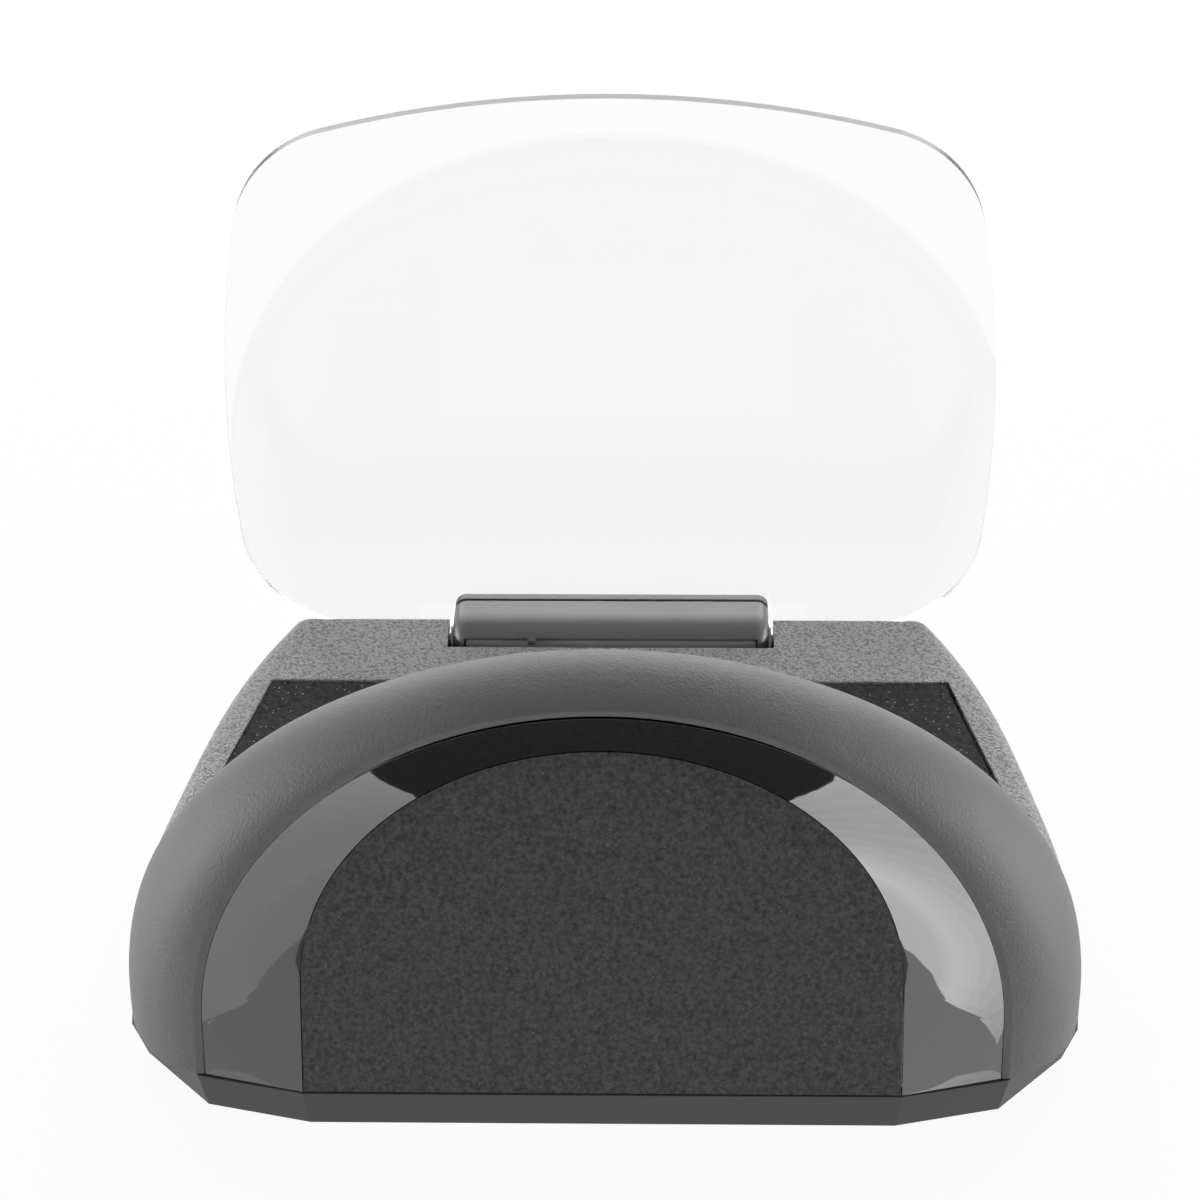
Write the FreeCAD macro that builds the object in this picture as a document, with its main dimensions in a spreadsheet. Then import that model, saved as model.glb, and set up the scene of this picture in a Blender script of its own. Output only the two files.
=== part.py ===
import FreeCAD
import Part
import Sketcher
import os
from math import atan2, cos, degrees, radians, sin, tan
from FreeCAD import Placement, Rotation, Vector

# A portable head-up display: a low moulded housing, an arched hood with the
# display inside it, and a clear combiner plate on a friction hinge behind.
# X runs to the right, Y to the back, Z up; the origin is on the underside.

doc = FreeCAD.newDocument("HeadUpDisplay")

SIZES = [
    # housing, seen from above; a station is a half-width at its own Y
    ("front_y", -41.3, "front edge of the housing at the seam"),
    ("front_half", 33.7, "half-width of the flat front"),
    ("facet_y", -38.4, "rear end of the first front facet"),
    ("facet_half", 45.9, "half-width there"),
    ("shoulder_y", -29.8, "rear end of the second front facet"),
    ("shoulder_half", 54.4, "half-width there"),
    ("split_y", -22.0, "plane where the hood ring meets the body shell"),
    ("split_half", 54.8, "half-width there at the seam"),
    ("waist_y", -4.0, "station behind the hood"),
    ("waist_half", 52.4, "half-width there at the seam"),
    ("deck_front_y", 18.0, "front border of the rear deck"),
    ("deck_front_half", 47.3, "half-width there at the seam"),
    ("deck_rear_y", 31.0, "rear edge of the deck"),
    ("deck_rear_half", 41.9, "half-width there at the seam"),
    ("rear_y", 38.7, "rear wall of the housing"),
    ("rear_half", 37.4, "half-width of the rear wall at the seam"),
    ("side_draft", 1.7, "lean of the side walls from seam to deck"),
    ("seam_z", 5.0, "split between base pan and upper shells"),
    ("seam_gap", 0.25, "shadow gap at the seam"),
    ("deck_z", 19.0, "top of the deck"),
    ("ledge_z", 10.0, "top of the low ledge behind the deck"),
    ("wall", 1.8, "wall of the mouldings"),
    ("deck_round", 2.2, "rounding of the outer top edge"),
    ("foot_inset", 1.6, "how far the sides of the underside are set in"),
    ("foot_inset_ends", 0.2, "how far its front and rear are set in"),
    ("pan_lift", 0.2, "underside of the pan above the grip pad's face"),
    ("pan_floor", 1.6, "floor of the base pan"),
    # well between deck and hood
    ("rim_width", 3.7, "width of the rim beside the well"),
    ("well_depth", 2.4, "depth of the well floor under the deck"),
    ("well_floor", 1.6, "thickness of the well floor"),
    ("mat_thick", 2.2, "anti-glare mat"),
    ("mat_gap", 0.28, "gap round the mat"),
    ("mat_shift", -0.17, "how far the mat is glued off centre"),
    ("fit_gap", 0.15, "assembly gap between fixed pieces"),
    # hood ring: apex positions of its four sections
    ("ridge_top_y", -32.0, "apex of the ridge round the flare"),
    ("ridge_top_z", 51.6, "height of that apex"),
    ("ridge_straight", 7.0, "straight foot of the ridge arch"),
    ("brow_y", -30.6, "foot of the section between ridge and crest"),
    ("brow_half", 53.9, "half-width there"),
    ("brow_top_y", -28.4, "apex of that section"),
    ("brow_top_z", 54.2, "height of that apex"),
    ("crest_y", -25.4, "foot of the crest section"),
    ("crest_half", 54.9, "half-width there"),
    ("crest_top_y", -24.6, "apex of the crest"),
    ("crest_top_z", 54.3, "height of that apex"),
    ("back_top_z", 52.3, "height of the ring's rear edge"),
    ("arch_straight", 3.0, "straight foot of the outer arches"),
    ("ring_wall", 1.6, "wall of the hood ring"),
    ("ring_lip", 0.9, "thin front lip of the ring at the ridge"),
    # flare and face
    ("face_top_y", -27.7, "apex of the face panel"),
    ("face_top_z", 43.0, "height of that apex"),
    ("face_straight", 13.2, "straight foot of the face arch, along the panel"),
    ("flare_thick", 1.5, "thickness of the flare"),
    ("flare_gap", 0.06, "assembly gap between the flare and the ring's lip"),
    ("face_thick", 1.4, "thickness of the face panel"),
    ("face_gap", 0.12, "shadow gap round the face panel"),
    ("face_seat", 2.4, "width of the seat behind the face panel"),
    # hood back with its display window
    ("back_rise_z", 50.4, "height of the hood back at the ring"),
    ("back_foot_y", -3.0, "foot of the hood back in the well"),
    ("back_foot_half", 42.0, "half-width of that foot"),
    ("back_foot_rise", 3.2, "height of that foot above the well floor"),
    ("back_foot_straight", 0.4, "upright edge of the hood back at the well floor"),
    ("window_drop", 2.4, "window pane below the crown of the hood back"),
    ("window_low", 3.0, "window centre below the middle of the slope"),
    ("window_wide", 48.0, "window pane width"),
    ("window_tall", 21.0, "window pane height along the slope"),
    ("window_thick", 1.2, "window pane thickness"),
    ("window_seat", 1.6, "seat round and under the pane"),
    ("panel_thick", 2.0, "display panel"),
    ("panel_frame", 1.4, "display panel beyond the seen area, each side"),
    ("diffuser_thick", 0.6, "diffuser sheet"),
    ("light_box_deep", 4.4, "backlight box"),
    ("light_box_wall", 1.0, "wall of the backlight box"),
    ("led_board_thick", 1.0, "backlight board"),
    ("led_side", 1.8, "side of one light-emitting diode"),
    ("led_tall", 0.9, "height of one light-emitting diode"),
    ("sink_base", 0.8, "heat sink plate"),
    ("sink_fin", 1.2, "heat sink fin height"),
    ("sink_fin_thick", 0.8, "heat sink fin thickness"),
    # hinge and combiner
    ("axis_y", 29.9, "tilt axis"),
    ("axis_z", 16.7, "tilt axis"),
    ("barrel_round", 4.0, "radius of the hinge barrel"),
    ("barrel_half", 19.9, "half-length of the hinge barrel"),
    ("barrel_end", 1.6, "rounding of the barrel's ends"),
    ("notch_gap", 0.6, "clearance at the ends of the hinge barrel"),
    ("notch_front_gap", 0.9, "clearance in front of the hinge barrel"),
    ("notch_floor", 11.3, "floor of the hinge notch"),
    ("cheek", 5.6, "width of the bearing cheek each side of the notch"),
    ("pin_round", 1.25, "radius of the hinge pin"),
    ("pin_fit", 0.05, "running fit of the pin in the cheeks"),
    ("washer_thick", 0.3, "friction washer"),
    ("washer_round", 2.9, "outer radius of the friction washer"),
    ("plate_y", 33.0, "front face of the combiner plate"),
    ("plate_thick", 1.2, "combiner plate"),
    ("plate_low_z", 14.5, "lowest point of the combiner plate"),
    ("plate_high_z", 91.4, "highest point of the combiner plate"),
    ("plate_half", 47.05, "greatest half-width of the combiner plate"),
    ("plate_crown", 4.6, "rise of the top edge"),
    ("plate_belly", 2.7, "rise of the bottom edge"),
    ("plate_bow_high", 2.6, "bow of the side edges at their top"),
    ("plate_bow_low", 0.75, "bow of the side edges at their bottom"),
    ("plate_wide_z", 46.0, "height where the plate is widest"),
    ("plate_top_corner", 10.4, "width of a top corner"),
    ("plate_top_drop", 11.8, "height of a top corner"),
    ("plate_low_corner", 10.0, "width of a bottom corner"),
    ("plate_low_drop", 12.8, "height of a bottom corner"),
    ("pad_thick", 0.3, "gasket pad each side of the plate"),
    ("clamp_back_thick", 1.5, "rear clamp plate"),
    ("clamp_back_end", 1.4, "rounding of its upper corners"),
    ("clamp_back_low_z", 13.2, "bottom of the rear clamp plate"),
    ("clamp_back_high_z", 20.1, "top of the rear clamp plate"),
    ("strip_half", 18.2, "half-length of the barrel's inset strip"),
    ("strip_tall", 1.9, "height of the inset strip"),
    ("strip_gap", 0.3, "gap round the inset strip"),
    ("strip_high_z", 18.75, "top of the inset strip"),
    ("clamp_screw_x", 12.0, "clamp screw positions"),
    ("clamp_screw_z", 18.75, "clamp screw height"),
    ("clamp_shank", 0.6, "radius of the clamp screws"),
    ("clamp_head", 1.05, "radius of their heads"),
    ("clamp_head_tall", 0.7, "height of their heads"),
    ("clamp_slot", 1.4, "length of the cross in their heads"),
    ("small_screw", 0.8, "radius of the small screws"),
    ("small_head", 1.5, "radius of the small screw heads"),
    ("small_head_tall", 0.9, "height of the small screw heads"),
    # electronics
    ("board_half", 34.0, "half-width of the main board"),
    ("board_front_y", -19.0, "front edge of the main board"),
    ("board_rear_y", 36.4, "rear edge of the main board"),
    ("board_thick", 1.2, "main board"),
    ("board_post", 0.9, "posts under the main board"),
    ("post_round", 2.6, "radius of those posts"),
    ("board_screw_x", 30.5, "board screw positions"),
    ("board_screw_front_y", -15.0, "board screw positions"),
    ("board_screw_rear_y", 20.0, "board screw positions"),
    ("socket_x", 10.0, "centre of the power socket"),
    ("socket_wide", 9.0, "power socket"),
    ("socket_tall", 3.2, "power socket"),
    ("socket_deep", 7.4, "power socket"),
    ("socket_wall", 0.4, "power socket shell"),
    ("socket_tongue", 0.8, "power socket tongue"),
    ("port_gap", 0.3, "clearance of the opening round the socket"),
    ("button_x", -14.0, "centre of the power button"),
    ("button_wide", 7.0, "power button"),
    ("button_tall", 2.4, "power button"),
    ("button_low_z", 5.4, "underside of the power button"),
    ("button_proud", 0.9, "power button beyond the rear wall"),
    ("button_inside", 2.6, "power button behind the outer face"),
    ("button_gap", 0.3, "clearance round the power button"),
    ("button_travel", 0.6, "travel of the power button"),
    ("chip_side", 11.0, "processor"),
    ("chip_tall", 1.4, "processor"),
    ("shield_wide", 22.0, "radio shield can"),
    ("shield_deep", 16.0, "radio shield can"),
    ("shield_tall", 2.4, "radio shield can"),
    ("shield_wall", 0.3, "radio shield can"),
    ("cap_round", 2.6, "radius of a storage capacitor"),
    ("cap_tall", 5.6, "height of a storage capacitor"),
    ("coil_side", 6.0, "power inductor"),
    ("coil_tall", 3.2, "power inductor"),
    ("ribbon_wide", 16.0, "display ribbon"),
    ("ribbon_thick", 0.3, "display ribbon"),
    ("sounder_round", 4.6, "radius of the sounder"),
    ("sounder_tall", 3.0, "height of the sounder"),
    ("chip_x", -24.0, "processor, its left edge"),
    ("chip_y", -10.0, "processor, its front edge"),
    ("shield_x", -4.0, "radio shield can, its left edge"),
    ("shield_y", -12.0, "radio shield can, its front edge"),
    ("power_row_y", 12.0, "row of the capacitors, the inductor and the sounder"),
    ("cap_x", 24.0, "outermost capacitor"),
    ("cap_apart", 1.2, "space between capacitors"),
    ("coil_x", -8.0, "power inductor, its left edge"),
    ("sounder_x", -22.0, "centre of the sounder"),
    ("plug_margin", 1.5, "ribbon connector beyond the ribbon, each side"),
    ("plug_deep", 3.2, "ribbon connector"),
    ("plug_tall", 1.6, "ribbon connector"),
    ("plug_set_back", 2.6, "ribbon connector behind the board's front edge"),
    # fasteners and foot
    ("case_boss", 3.0, "radius of the case screw bosses"),
    ("case_screw_front_x", 48.8, "front case screws"),
    ("case_screw_front_y", -29.0, "front case screws"),
    ("case_screw_rear_x", 38.6, "rear case screws"),
    ("case_screw_rear_y", 24.0, "rear case screws"),
    ("case_screw", 1.1, "radius of the case screws"),
    ("case_head", 2.1, "radius of the case screw heads"),
    ("case_head_tall", 1.1, "height of the case screw heads"),
    ("case_screw_long", 8.0, "length of the case screws"),
    ("grip_half", 33.0, "half-width of the grip pad"),
    ("grip_front_y", -32.0, "front edge of the grip pad"),
    ("grip_rear_y", 30.0, "rear edge of the grip pad"),
    ("grip_thick", 1.0, "grip pad"),
    ("grip_round", 6.0, "corner radius of the grip pad"),
]

sheet = doc.addObject("Spreadsheet::Sheet", "Sizes")
for row, (alias, size, note) in enumerate(SIZES, start=1):
    sheet.set(f"A{row}", alias)
    sheet.set(f"B{row}", str(size))
    sheet.set(f"C{row}", note)
    sheet.setAlias(f"B{row}", alias)
doc.recompute()


def size(alias):
    """Return one driving dimension from the sheet."""
    return float(sheet.get(alias))


# ---------------------------------------------------------------- helpers

def bind(item, **expressions):
    """Bind properties of an object to expressions over the sheet."""
    for name, expression in expressions.items():
        item.setExpression(name.replace("_", "."), expression)


def place_at(item, x, y, z):
    """Bind an object's position to expressions over the sheet."""
    item.setExpression("Placement.Base.x", x)
    item.setExpression("Placement.Base.y", y)
    item.setExpression("Placement.Base.z", z)


def box(name, length, width, height, x, y, z):
    """Add a block whose size and lowest corner are expressions."""
    item = doc.addObject("Part::Box", name)
    bind(item, Length=length, Width=width, Height=height)
    place_at(item, x, y, z)
    return item


def cylinder(name, radius, height, x, y, z, axis="z"):
    """Add a cylinder along x, y or z that starts at the given point."""
    item = doc.addObject("Part::Cylinder", name)
    bind(item, Radius=radius, Height=height)
    turns = {"x": Rotation(Vector(0, 1, 0), 90), "y": Rotation(Vector(1, 0, 0), -90)}
    if axis in turns:
        item.Placement = Placement(Vector(), turns[axis])
    place_at(item, x, y, z)
    return item


def cut(name, base, tool):
    """Subtract one object from another."""
    item = doc.addObject("Part::Cut", name)
    item.Base = base
    item.Tool = tool
    return item


def fuse(name, items):
    """Join several objects into one."""
    item = doc.addObject("Part::MultiFuse", name)
    item.Shapes = items
    return item


def group(name, items):
    """Keep identical loose pieces together as separate solids of one node."""
    item = doc.addObject("Part::Compound", name)
    item.Links = items
    return item


def feature(name, shape):
    """Add an object that holds a shape made with Part's own functions."""
    item = doc.addObject("Part::Feature", name)
    item.Shape = shape
    return item


def one_solid(shape):
    """Return a shape as a single clean solid."""
    clean = shape.removeSplitter()
    return clean.Solids[0] if len(clean.Solids) == 1 else clean


def arc(start, middle, end):
    """Return an arc through three points."""
    return Part.Arc(Vector(*start), Vector(*middle), Vector(*end)).toShape()


def line(start, end):
    """Return a straight edge."""
    return Part.LineSegment(Vector(*start), Vector(*end)).toShape()


def spline(points):
    """Return a smooth edge through points."""
    curve = Part.BSplineCurve()
    curve.interpolate([Vector(*point) for point in points])
    return curve.toShape()


def arch_edges(half, foot, top, straight):
    """Return the right foot, arch and left foot of an arch.

    The arch stands on the point foot (y, z), leans in its own plane to the
    apex top (y, z), and is half wide each side.  straight is the length of
    each upright foot, measured along the plane.
    """
    rise = Vector(0, top[0] - foot[0], top[1] - foot[1])
    up = Vector(rise)
    up.normalize()
    base = Vector(0, foot[0], foot[1])
    spring = base + up * straight
    across = Vector(half, 0, 0)
    crown = up * (rise.Length - straight)
    frame = FreeCAD.Matrix()
    frame.A11, frame.A21, frame.A31 = across.x, across.y, across.z
    frame.A12, frame.A22, frame.A32 = crown.x, crown.y, crown.z
    frame.A13, frame.A23, frame.A33 = 0, up.z, -up.y
    frame.A14, frame.A24, frame.A34 = spring.x, spring.y, spring.z
    unit = Part.Circle(Vector(), Vector(0, 0, 1), 1.0)
    bow = Part.Arc(unit, 0, radians(180)).toShape().transformGeometry(frame)
    right = line(base + across, spring + across)
    left = line(spring - across, base - across)
    return [right, bow, left], (base - across, base + across)


def arch_wire(half, foot, top, straight, closed=True):
    """Return an arch as a wire, with its bottom line if it is closed."""
    edges, ends = arch_edges(half, foot, top, straight)
    if closed:
        edges.append(line(*ends))
    return Part.Wire(edges)


def loft(wires, ruled=False):
    """Return the solid through closed wires."""
    return Part.makeLoft(wires, True, ruled)


def slab(low_y, high_y, low_z, high_z, half=200.0):
    """Return a block that spans the whole width."""
    return Part.makeBox(2 * half, high_y - low_y, high_z - low_z, Vector(-half, low_y, low_z))


# ------------------------------------------------------- housing outlines

def side_stations(inset):
    """Return the right side of the housing at the seam, front to back."""
    names = ["shoulder", "split", "waist", "deck_front", "deck_rear", "rear"]
    return [(size(name + "_half") - inset, size(name + "_y")) for name in names]


def outline(level, inset, ends_inset=None):
    """Return the housing's plan outline at a height, set in by inset."""
    ends = inset if ends_inset is None else ends_inset
    front = size("front_y") + ends
    right = side_stations(inset)
    right[-1] = (right[-1][0], size("rear_y") - ends)
    right[0] = (right[0][0], size("shoulder_y") + 0.5 * ends)
    facet = (size("facet_half") - 0.6 * inset, size("facet_y") + 0.9 * ends)
    nose = (size("front_half") - 0.4 * inset, front)
    points = [(x, y, level) for x, y in right]
    mirror = [(-x, y, z) for x, y, z in points]
    edges = [
        line((-nose[0], nose[1], level), (nose[0], nose[1], level)),
        line((nose[0], nose[1], level), (facet[0], facet[1], level)),
        line((facet[0], facet[1], level), points[0]),
        spline(points),
        line(points[-1], mirror[-1]),
        spline(mirror[::-1]),
        line(mirror[0], (-facet[0], facet[1], level)),
        line((-facet[0], facet[1], level), (-nose[0], nose[1], level)),
    ]
    return Part.Wire(edges)


def housing_block(inset, low, high, extra_top=0.0):
    """Return the drafted block of the housing between two heights."""
    draft = size("side_draft") / (size("deck_z") - size("seam_z"))
    at_low = inset + draft * (low - size("seam_z"))
    at_high = inset + draft * (high - size("seam_z")) + extra_top
    ends = inset
    return loft([outline(low, at_low, ends), outline(high, at_high, ends)], ruled=True)


def well_block(gap, low, high):
    """Return the well between the rims, from the deck to the split plane."""
    inset = size("side_draft") + size("rim_width") + gap
    prism = Part.Face(outline(low, inset)).extrude(Vector(0, 0, high - low))
    window = slab(size("split_y") - 1.0, size("deck_front_y") - gap, low - 1.0, high + 1.0)
    return prism.common(window)


def back_half():
    """Return the half-width of the hood back, which fits between the rims."""
    rims = size("side_draft") + size("rim_width") + size("fit_gap")
    return size("split_half") - rims


def hood_back_block(grow=0.0, low=None):
    """Return the solid hood back, grown by a gap."""
    floor = size("deck_z") - size("well_depth")
    base = floor if low is None else low
    straight = size("back_foot_straight") + floor - base
    head = arch_wire(
        back_half() + grow,
        (size("split_y"), base),
        (size("split_y"), size("back_rise_z") + grow),
        straight,
    )
    foot = arch_wire(
        size("back_foot_half") + grow,
        (size("back_foot_y") + grow, base),
        (size("back_foot_y") + grow, floor + size("back_foot_rise") + grow),
        straight,
    )
    return loft([head, foot], ruled=True)


# ---------------------------------------------------------- lower housing

def make_base_pan():
    """Tray under the housing: floor, low wall, posts and screw holes."""
    low = size("pan_lift")
    high = size("seam_z") - size("seam_gap")
    wall = size("wall")
    ends = size("foot_inset_ends")
    outer = loft([outline(low, size("foot_inset"), ends), outline(high, 0.0)], ruled=True)
    floor = low + size("pan_floor")
    inner = loft(
        [outline(floor, size("foot_inset") + wall, ends + wall), outline(high + 0.01, wall)],
        ruled=True,
    )
    pan = outer.cut(inner)
    posts = []
    for x, y in board_screw_places():
        posts.append(Part.makeCylinder(
            size("post_round"), size("board_post"), Vector(x, y, floor)))
    for x, y in case_screw_places():
        posts.append(Part.makeCylinder(
            size("case_boss") + 0.6, high - floor, Vector(x, y, floor)))
    pan = pan.fuse(posts)
    pan = pan.common(outer)
    holes = []
    for x, y in case_screw_places():
        holes.append(Part.makeCylinder(size("case_screw") + size("fit_gap"), 9, Vector(x, y, 0)))
        holes.append(Part.makeCylinder(
            size("case_head") + size("fit_gap"), size("case_head_tall") + 0.5, Vector(x, y, low)))
    for x, y in board_screw_places():
        holes.append(Part.makeCylinder(size("small_screw"), 2.0, Vector(x, y, floor - 0.4)))
    holes.append(grip_shape(size("fit_gap"), size("grip_thick")))
    holes.append(socket_opening())
    return feature("base_pan", one_solid(pan.cut(holes)))


def grip_shape(gap, top):
    """Return the rounded plate of the grip pad, from the ground to top."""
    half = size("grip_half") + gap
    front = size("grip_front_y") - gap
    rear = size("grip_rear_y") + gap
    plate = Part.makeBox(2 * half, rear - front, top, Vector(-half, front, 0))
    upright = [edge for edge in plate.Edges if abs(edge.tangentAt(edge.FirstParameter).z) > 0.9]
    return plate.makeFillet(size("grip_round") + gap, upright)


def make_grip_pad():
    """Soft pad that the housing stands on, with shallow grooves."""
    pad = grip_shape(0.0, size("grip_thick"))
    grooves = []
    count = 7
    pitch = (size("grip_rear_y") - size("grip_front_y")) / (count + 1)
    for index in range(count):
        y = size("grip_front_y") + pitch * (index + 1)
        grooves.append(Part.makeBox(
            2 * size("grip_half") - 12, 1.2, 0.35, Vector(6 - size("grip_half"), y - 0.6, 0)))
    return feature("grip_pad", one_solid(pad.cut(grooves)))


def board_screw_places():
    """Return the four board screw positions."""
    x = size("board_screw_x")
    ys = (size("board_screw_front_y"), size("board_screw_rear_y"))
    return [(side * x, y) for side in (-1, 1) for y in ys]


def case_screw_places():
    """Return the four case screw positions, front pair first."""
    front = (size("case_screw_front_x"), size("case_screw_front_y"))
    rear = (size("case_screw_rear_x"), size("case_screw_rear_y"))
    return [(side * x, y) for x, y in (front, rear) for side in (-1, 1)]


def case_boss(x, y, top):
    """Return one screw boss that hangs from the upper shell to the pan."""
    low = size("seam_z") + 0.1
    post = Part.makeCylinder(size("case_boss"), top - low, Vector(x, y, low))
    hole = Part.makeCylinder(size("case_screw"), size("case_screw_long"), Vector(x, y, low - 1))
    return post, hole


def board_top():
    """Return the height of the main board's upper face."""
    return size("pan_lift") + size("pan_floor") + size("board_post") + size("board_thick")


def socket_opening():
    """Return the opening in the rear wall round the power socket."""
    gap = size("port_gap")
    return Part.makeBox(
        size("socket_wide") + 2 * gap, 8.0, size("socket_tall") + 2 * gap,
        Vector(size("socket_x") - size("socket_wide") / 2 - gap,
               size("rear_y") - 5.0, board_top() - gap))


def button_block(gap, front, rear):
    """Return the power button's block between two depths, grown by a gap."""
    return Part.makeBox(
        size("button_wide") + 2 * gap, rear - front, size("button_tall") + 2 * gap,
        Vector(size("button_x") - size("button_wide") / 2 - gap,
               front, size("button_low_z") - gap))


def make_body_shell():
    """Upper shell: side walls, rear deck, well floor, ledge and hinge notch."""
    seam = size("seam_z")
    deck = size("deck_z")
    wall = size("wall")
    split = size("split_y") + size("fit_gap")
    ledge = size("ledge_z")
    deck_rear = size("deck_rear_y")
    well_z = deck - size("well_depth")
    outer = housing_block(0.0, seam, deck)
    top_edges = []
    for edge in outer.Edges:
        box_of = edge.BoundBox
        flat_top = box_of.ZMin > deck - 0.01
        long_side = box_of.YLength > 20.0
        if flat_top and long_side:
            top_edges.append(edge)
    outer = outer.makeFillet(size("deck_round"), top_edges)
    outer = outer.common(slab(split, 100, 0, 100))
    outer = outer.cut(slab(deck_rear, 100, ledge, 100))
    cavity = housing_block(wall, seam - 0.01, deck - wall)
    well_roof = slab(split - 1, size("deck_front_y") + wall, well_z - size("well_floor"), 100)
    ledge_roof = slab(deck_rear - wall, 100, ledge - wall, 100)
    cheek_half = size("barrel_half") + size("notch_gap") + size("cheek")
    notch_front = size("axis_y") - size("barrel_round") - size("notch_front_gap")
    cheek_block = Part.makeBox(
        2 * cheek_half, 40, 40, Vector(-cheek_half, notch_front - wall, size("notch_floor") - wall))
    cavity = cavity.cut([well_roof, ledge_roof, cheek_block])
    shell = outer.cut(cavity)
    bosses = [case_boss(x, y, deck - 1.0) for x, y in case_screw_places()[2:]]
    shell = shell.fuse([post for post, hole in bosses])
    notch_half = size("barrel_half") + size("notch_gap")
    notch = Part.makeBox(
        2 * notch_half, 40, 40, Vector(-notch_half, notch_front, size("notch_floor")))
    bore = Part.makeCylinder(
        size("pin_round") + size("pin_fit"), 2 * (cheek_half - 0.8),
        Vector(0.8 - cheek_half, size("axis_y"), size("axis_z")), Vector(1, 0, 0))
    display_bay = Part.makeBox(
        60.0, 30.0, 30.0, Vector(-30.0, size("split_y") - 20.0, seam))
    tools = [hole for post, hole in bosses]
    tools += [notch, bore, display_bay, well_block(0.0, well_z, deck + 1)]
    tools += [socket_opening(), button_block(size("button_gap"), size("rear_y") - 5, 60)]
    shell = shell.cut(tools)
    return feature("body_shell", one_solid(shell))


def make_anti_glare_mat():
    """Dark mat that fills the well between the deck, the rims and the hood."""
    low = size("deck_z") - size("well_depth")
    plate = well_block(size("mat_gap"), low, low + size("mat_thick"))
    plate.translate(Vector(size("mat_shift"), 0, 0))
    plate = plate.common(slab(size("split_y") + 0.3, 100, 0, 100))
    plate = plate.cut(hood_back_block(grow=0.3, low=low - 1.0))
    solids = sorted(plate.Solids, key=lambda solid: -solid.Volume)
    return feature("anti_glare_mat", solids[0])


# ------------------------------------------------------------------- hood

def ring_sections(inset, rear_half, rear_top, front_lip):
    """Return the four closed arch sections of the hood ring."""
    seam = size("seam_z")
    straight = size("arch_straight")
    return [
        arch_wire(
            size("facet_half") - front_lip, (size("facet_y"), seam),
            (size("ridge_top_y"), size("ridge_top_z") - front_lip), size("ridge_straight")),
        arch_wire(
            size("brow_half") - inset, (size("brow_y"), seam),
            (size("brow_top_y"), size("brow_top_z") - inset), straight),
        arch_wire(
            size("crest_half") - inset, (size("crest_y"), seam),
            (size("crest_top_y"), size("crest_top_z") - inset), straight),
        arch_wire(rear_half, (size("split_y"), seam), (size("split_y"), rear_top), straight),
    ]


def make_hood_ring():
    """Arched ring round the front opening, down to the seam on both sides."""
    outer = loft(ring_sections(0.0, size("crest_half"), size("back_top_z"), 0.0))
    rear_half = back_half() + size("fit_gap")
    rear_top = size("back_rise_z") + size("fit_gap")
    sections = ring_sections(size("ring_wall"), rear_half, rear_top, size("ring_lip"))
    forward = Part.Face(sections[0]).extrude(Vector(0, -5, 0))
    backward = Part.Face(sections[-1]).extrude(Vector(0, 5, 0))
    ring = outer.cut([loft(sections), forward, backward])
    boss_top = size("deck_z") - 4
    bosses = [case_boss(x, y, boss_top) for x, y in case_screw_places()[:2]]
    rib_low = size("seam_z") + 0.1
    ribs = [
        Part.makeBox(12, 2, boss_top - rib_low, Vector(x - 6 + 6 * x / abs(x), y - 1, rib_low))
        for x, y in case_screw_places()[:2]
    ]
    ring = ring.fuse([solid.common(outer) for solid in ribs + [post for post, hole in bosses]])
    ring = ring.cut([hole for post, hole in bosses])
    return feature("hood_ring", one_solid(ring))


def face_foot():
    """Return the foot of the face panel's plane."""
    return (size("front_y"), size("seam_z"))


def face_top(inset=0.0):
    """Return the apex of the face panel, lowered along its plane."""
    rise = Vector(0, size("face_top_y") - size("front_y"), size("face_top_z") - size("seam_z"))
    rise = rise * (1 - inset / rise.Length)
    return (size("front_y") + rise.y, size("seam_z") + rise.z)


def face_normal():
    """Return the direction from the face panel into the hood."""
    lean = atan2(size("face_top_y") - size("front_y"), size("face_top_z") - size("seam_z"))
    return Vector(0, cos(lean), -sin(lean))


def face_plate(inset, start, thick, hole_inset=None):
    """Return a plate of the face outline at a depth behind the face."""
    wire = arch_wire(size("front_half") - inset, face_foot(), face_top(inset), size("face_straight"))
    normal = face_normal()
    plate = Part.Face(wire).extrude(normal * thick)
    if hole_inset is not None:
        hole = arch_wire(
            size("front_half") - hole_inset, face_foot(), face_top(hole_inset),
            size("face_straight"))
        plate = plate.cut(Part.Face(hole).extrude(normal * thick))
    plate.translate(normal * start)
    return plate


def make_flare_bezel():
    """Glossy straight-sided flare between the ridge and the face panel, with its seat."""
    lip = size("ring_lip") + size("flare_gap")
    ridge_half = size("facet_half") - lip
    ridge_foot = (size("facet_y"), size("seam_z"))
    ridge_apex = (size("ridge_top_y"), size("ridge_top_z") - lip)
    face_half = size("front_half")
    wires = [
        arch_wire(ridge_half, ridge_foot, ridge_apex, size("ridge_straight"), closed=False),
        arch_wire(face_half, face_foot(), face_top(), size("face_straight"), closed=False),
    ]
    skin = Part.makeLoft(wires, False, True)
    back = Vector(0, size("flare_thick"), 0)
    parts = [face.extrude(back) for face in skin.Faces]
    seat_start = size("face_thick") + 0.05
    seat = face_plate(-0.9, seat_start, 1.2, hole_inset=size("face_seat"))
    seat = seat.common(slab(-100, 100, size("seam_z"), 100))
    flare = parts[0].fuse(parts[1:] + [seat])
    opening = face_plate(0.0, -3.0, 3.0 + seat_start)
    return feature("flare_bezel", one_solid(flare.cut(opening)))


def make_face_panel():
    """Grained panel in the hood's mouth, with a shadow gap round it."""
    plate = face_plate(size("face_gap"), 0.0, size("face_thick"))
    plate = plate.common(slab(-100, 100, size("seam_z") + 0.02, 100))
    return feature("face_panel", one_solid(plate))


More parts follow.
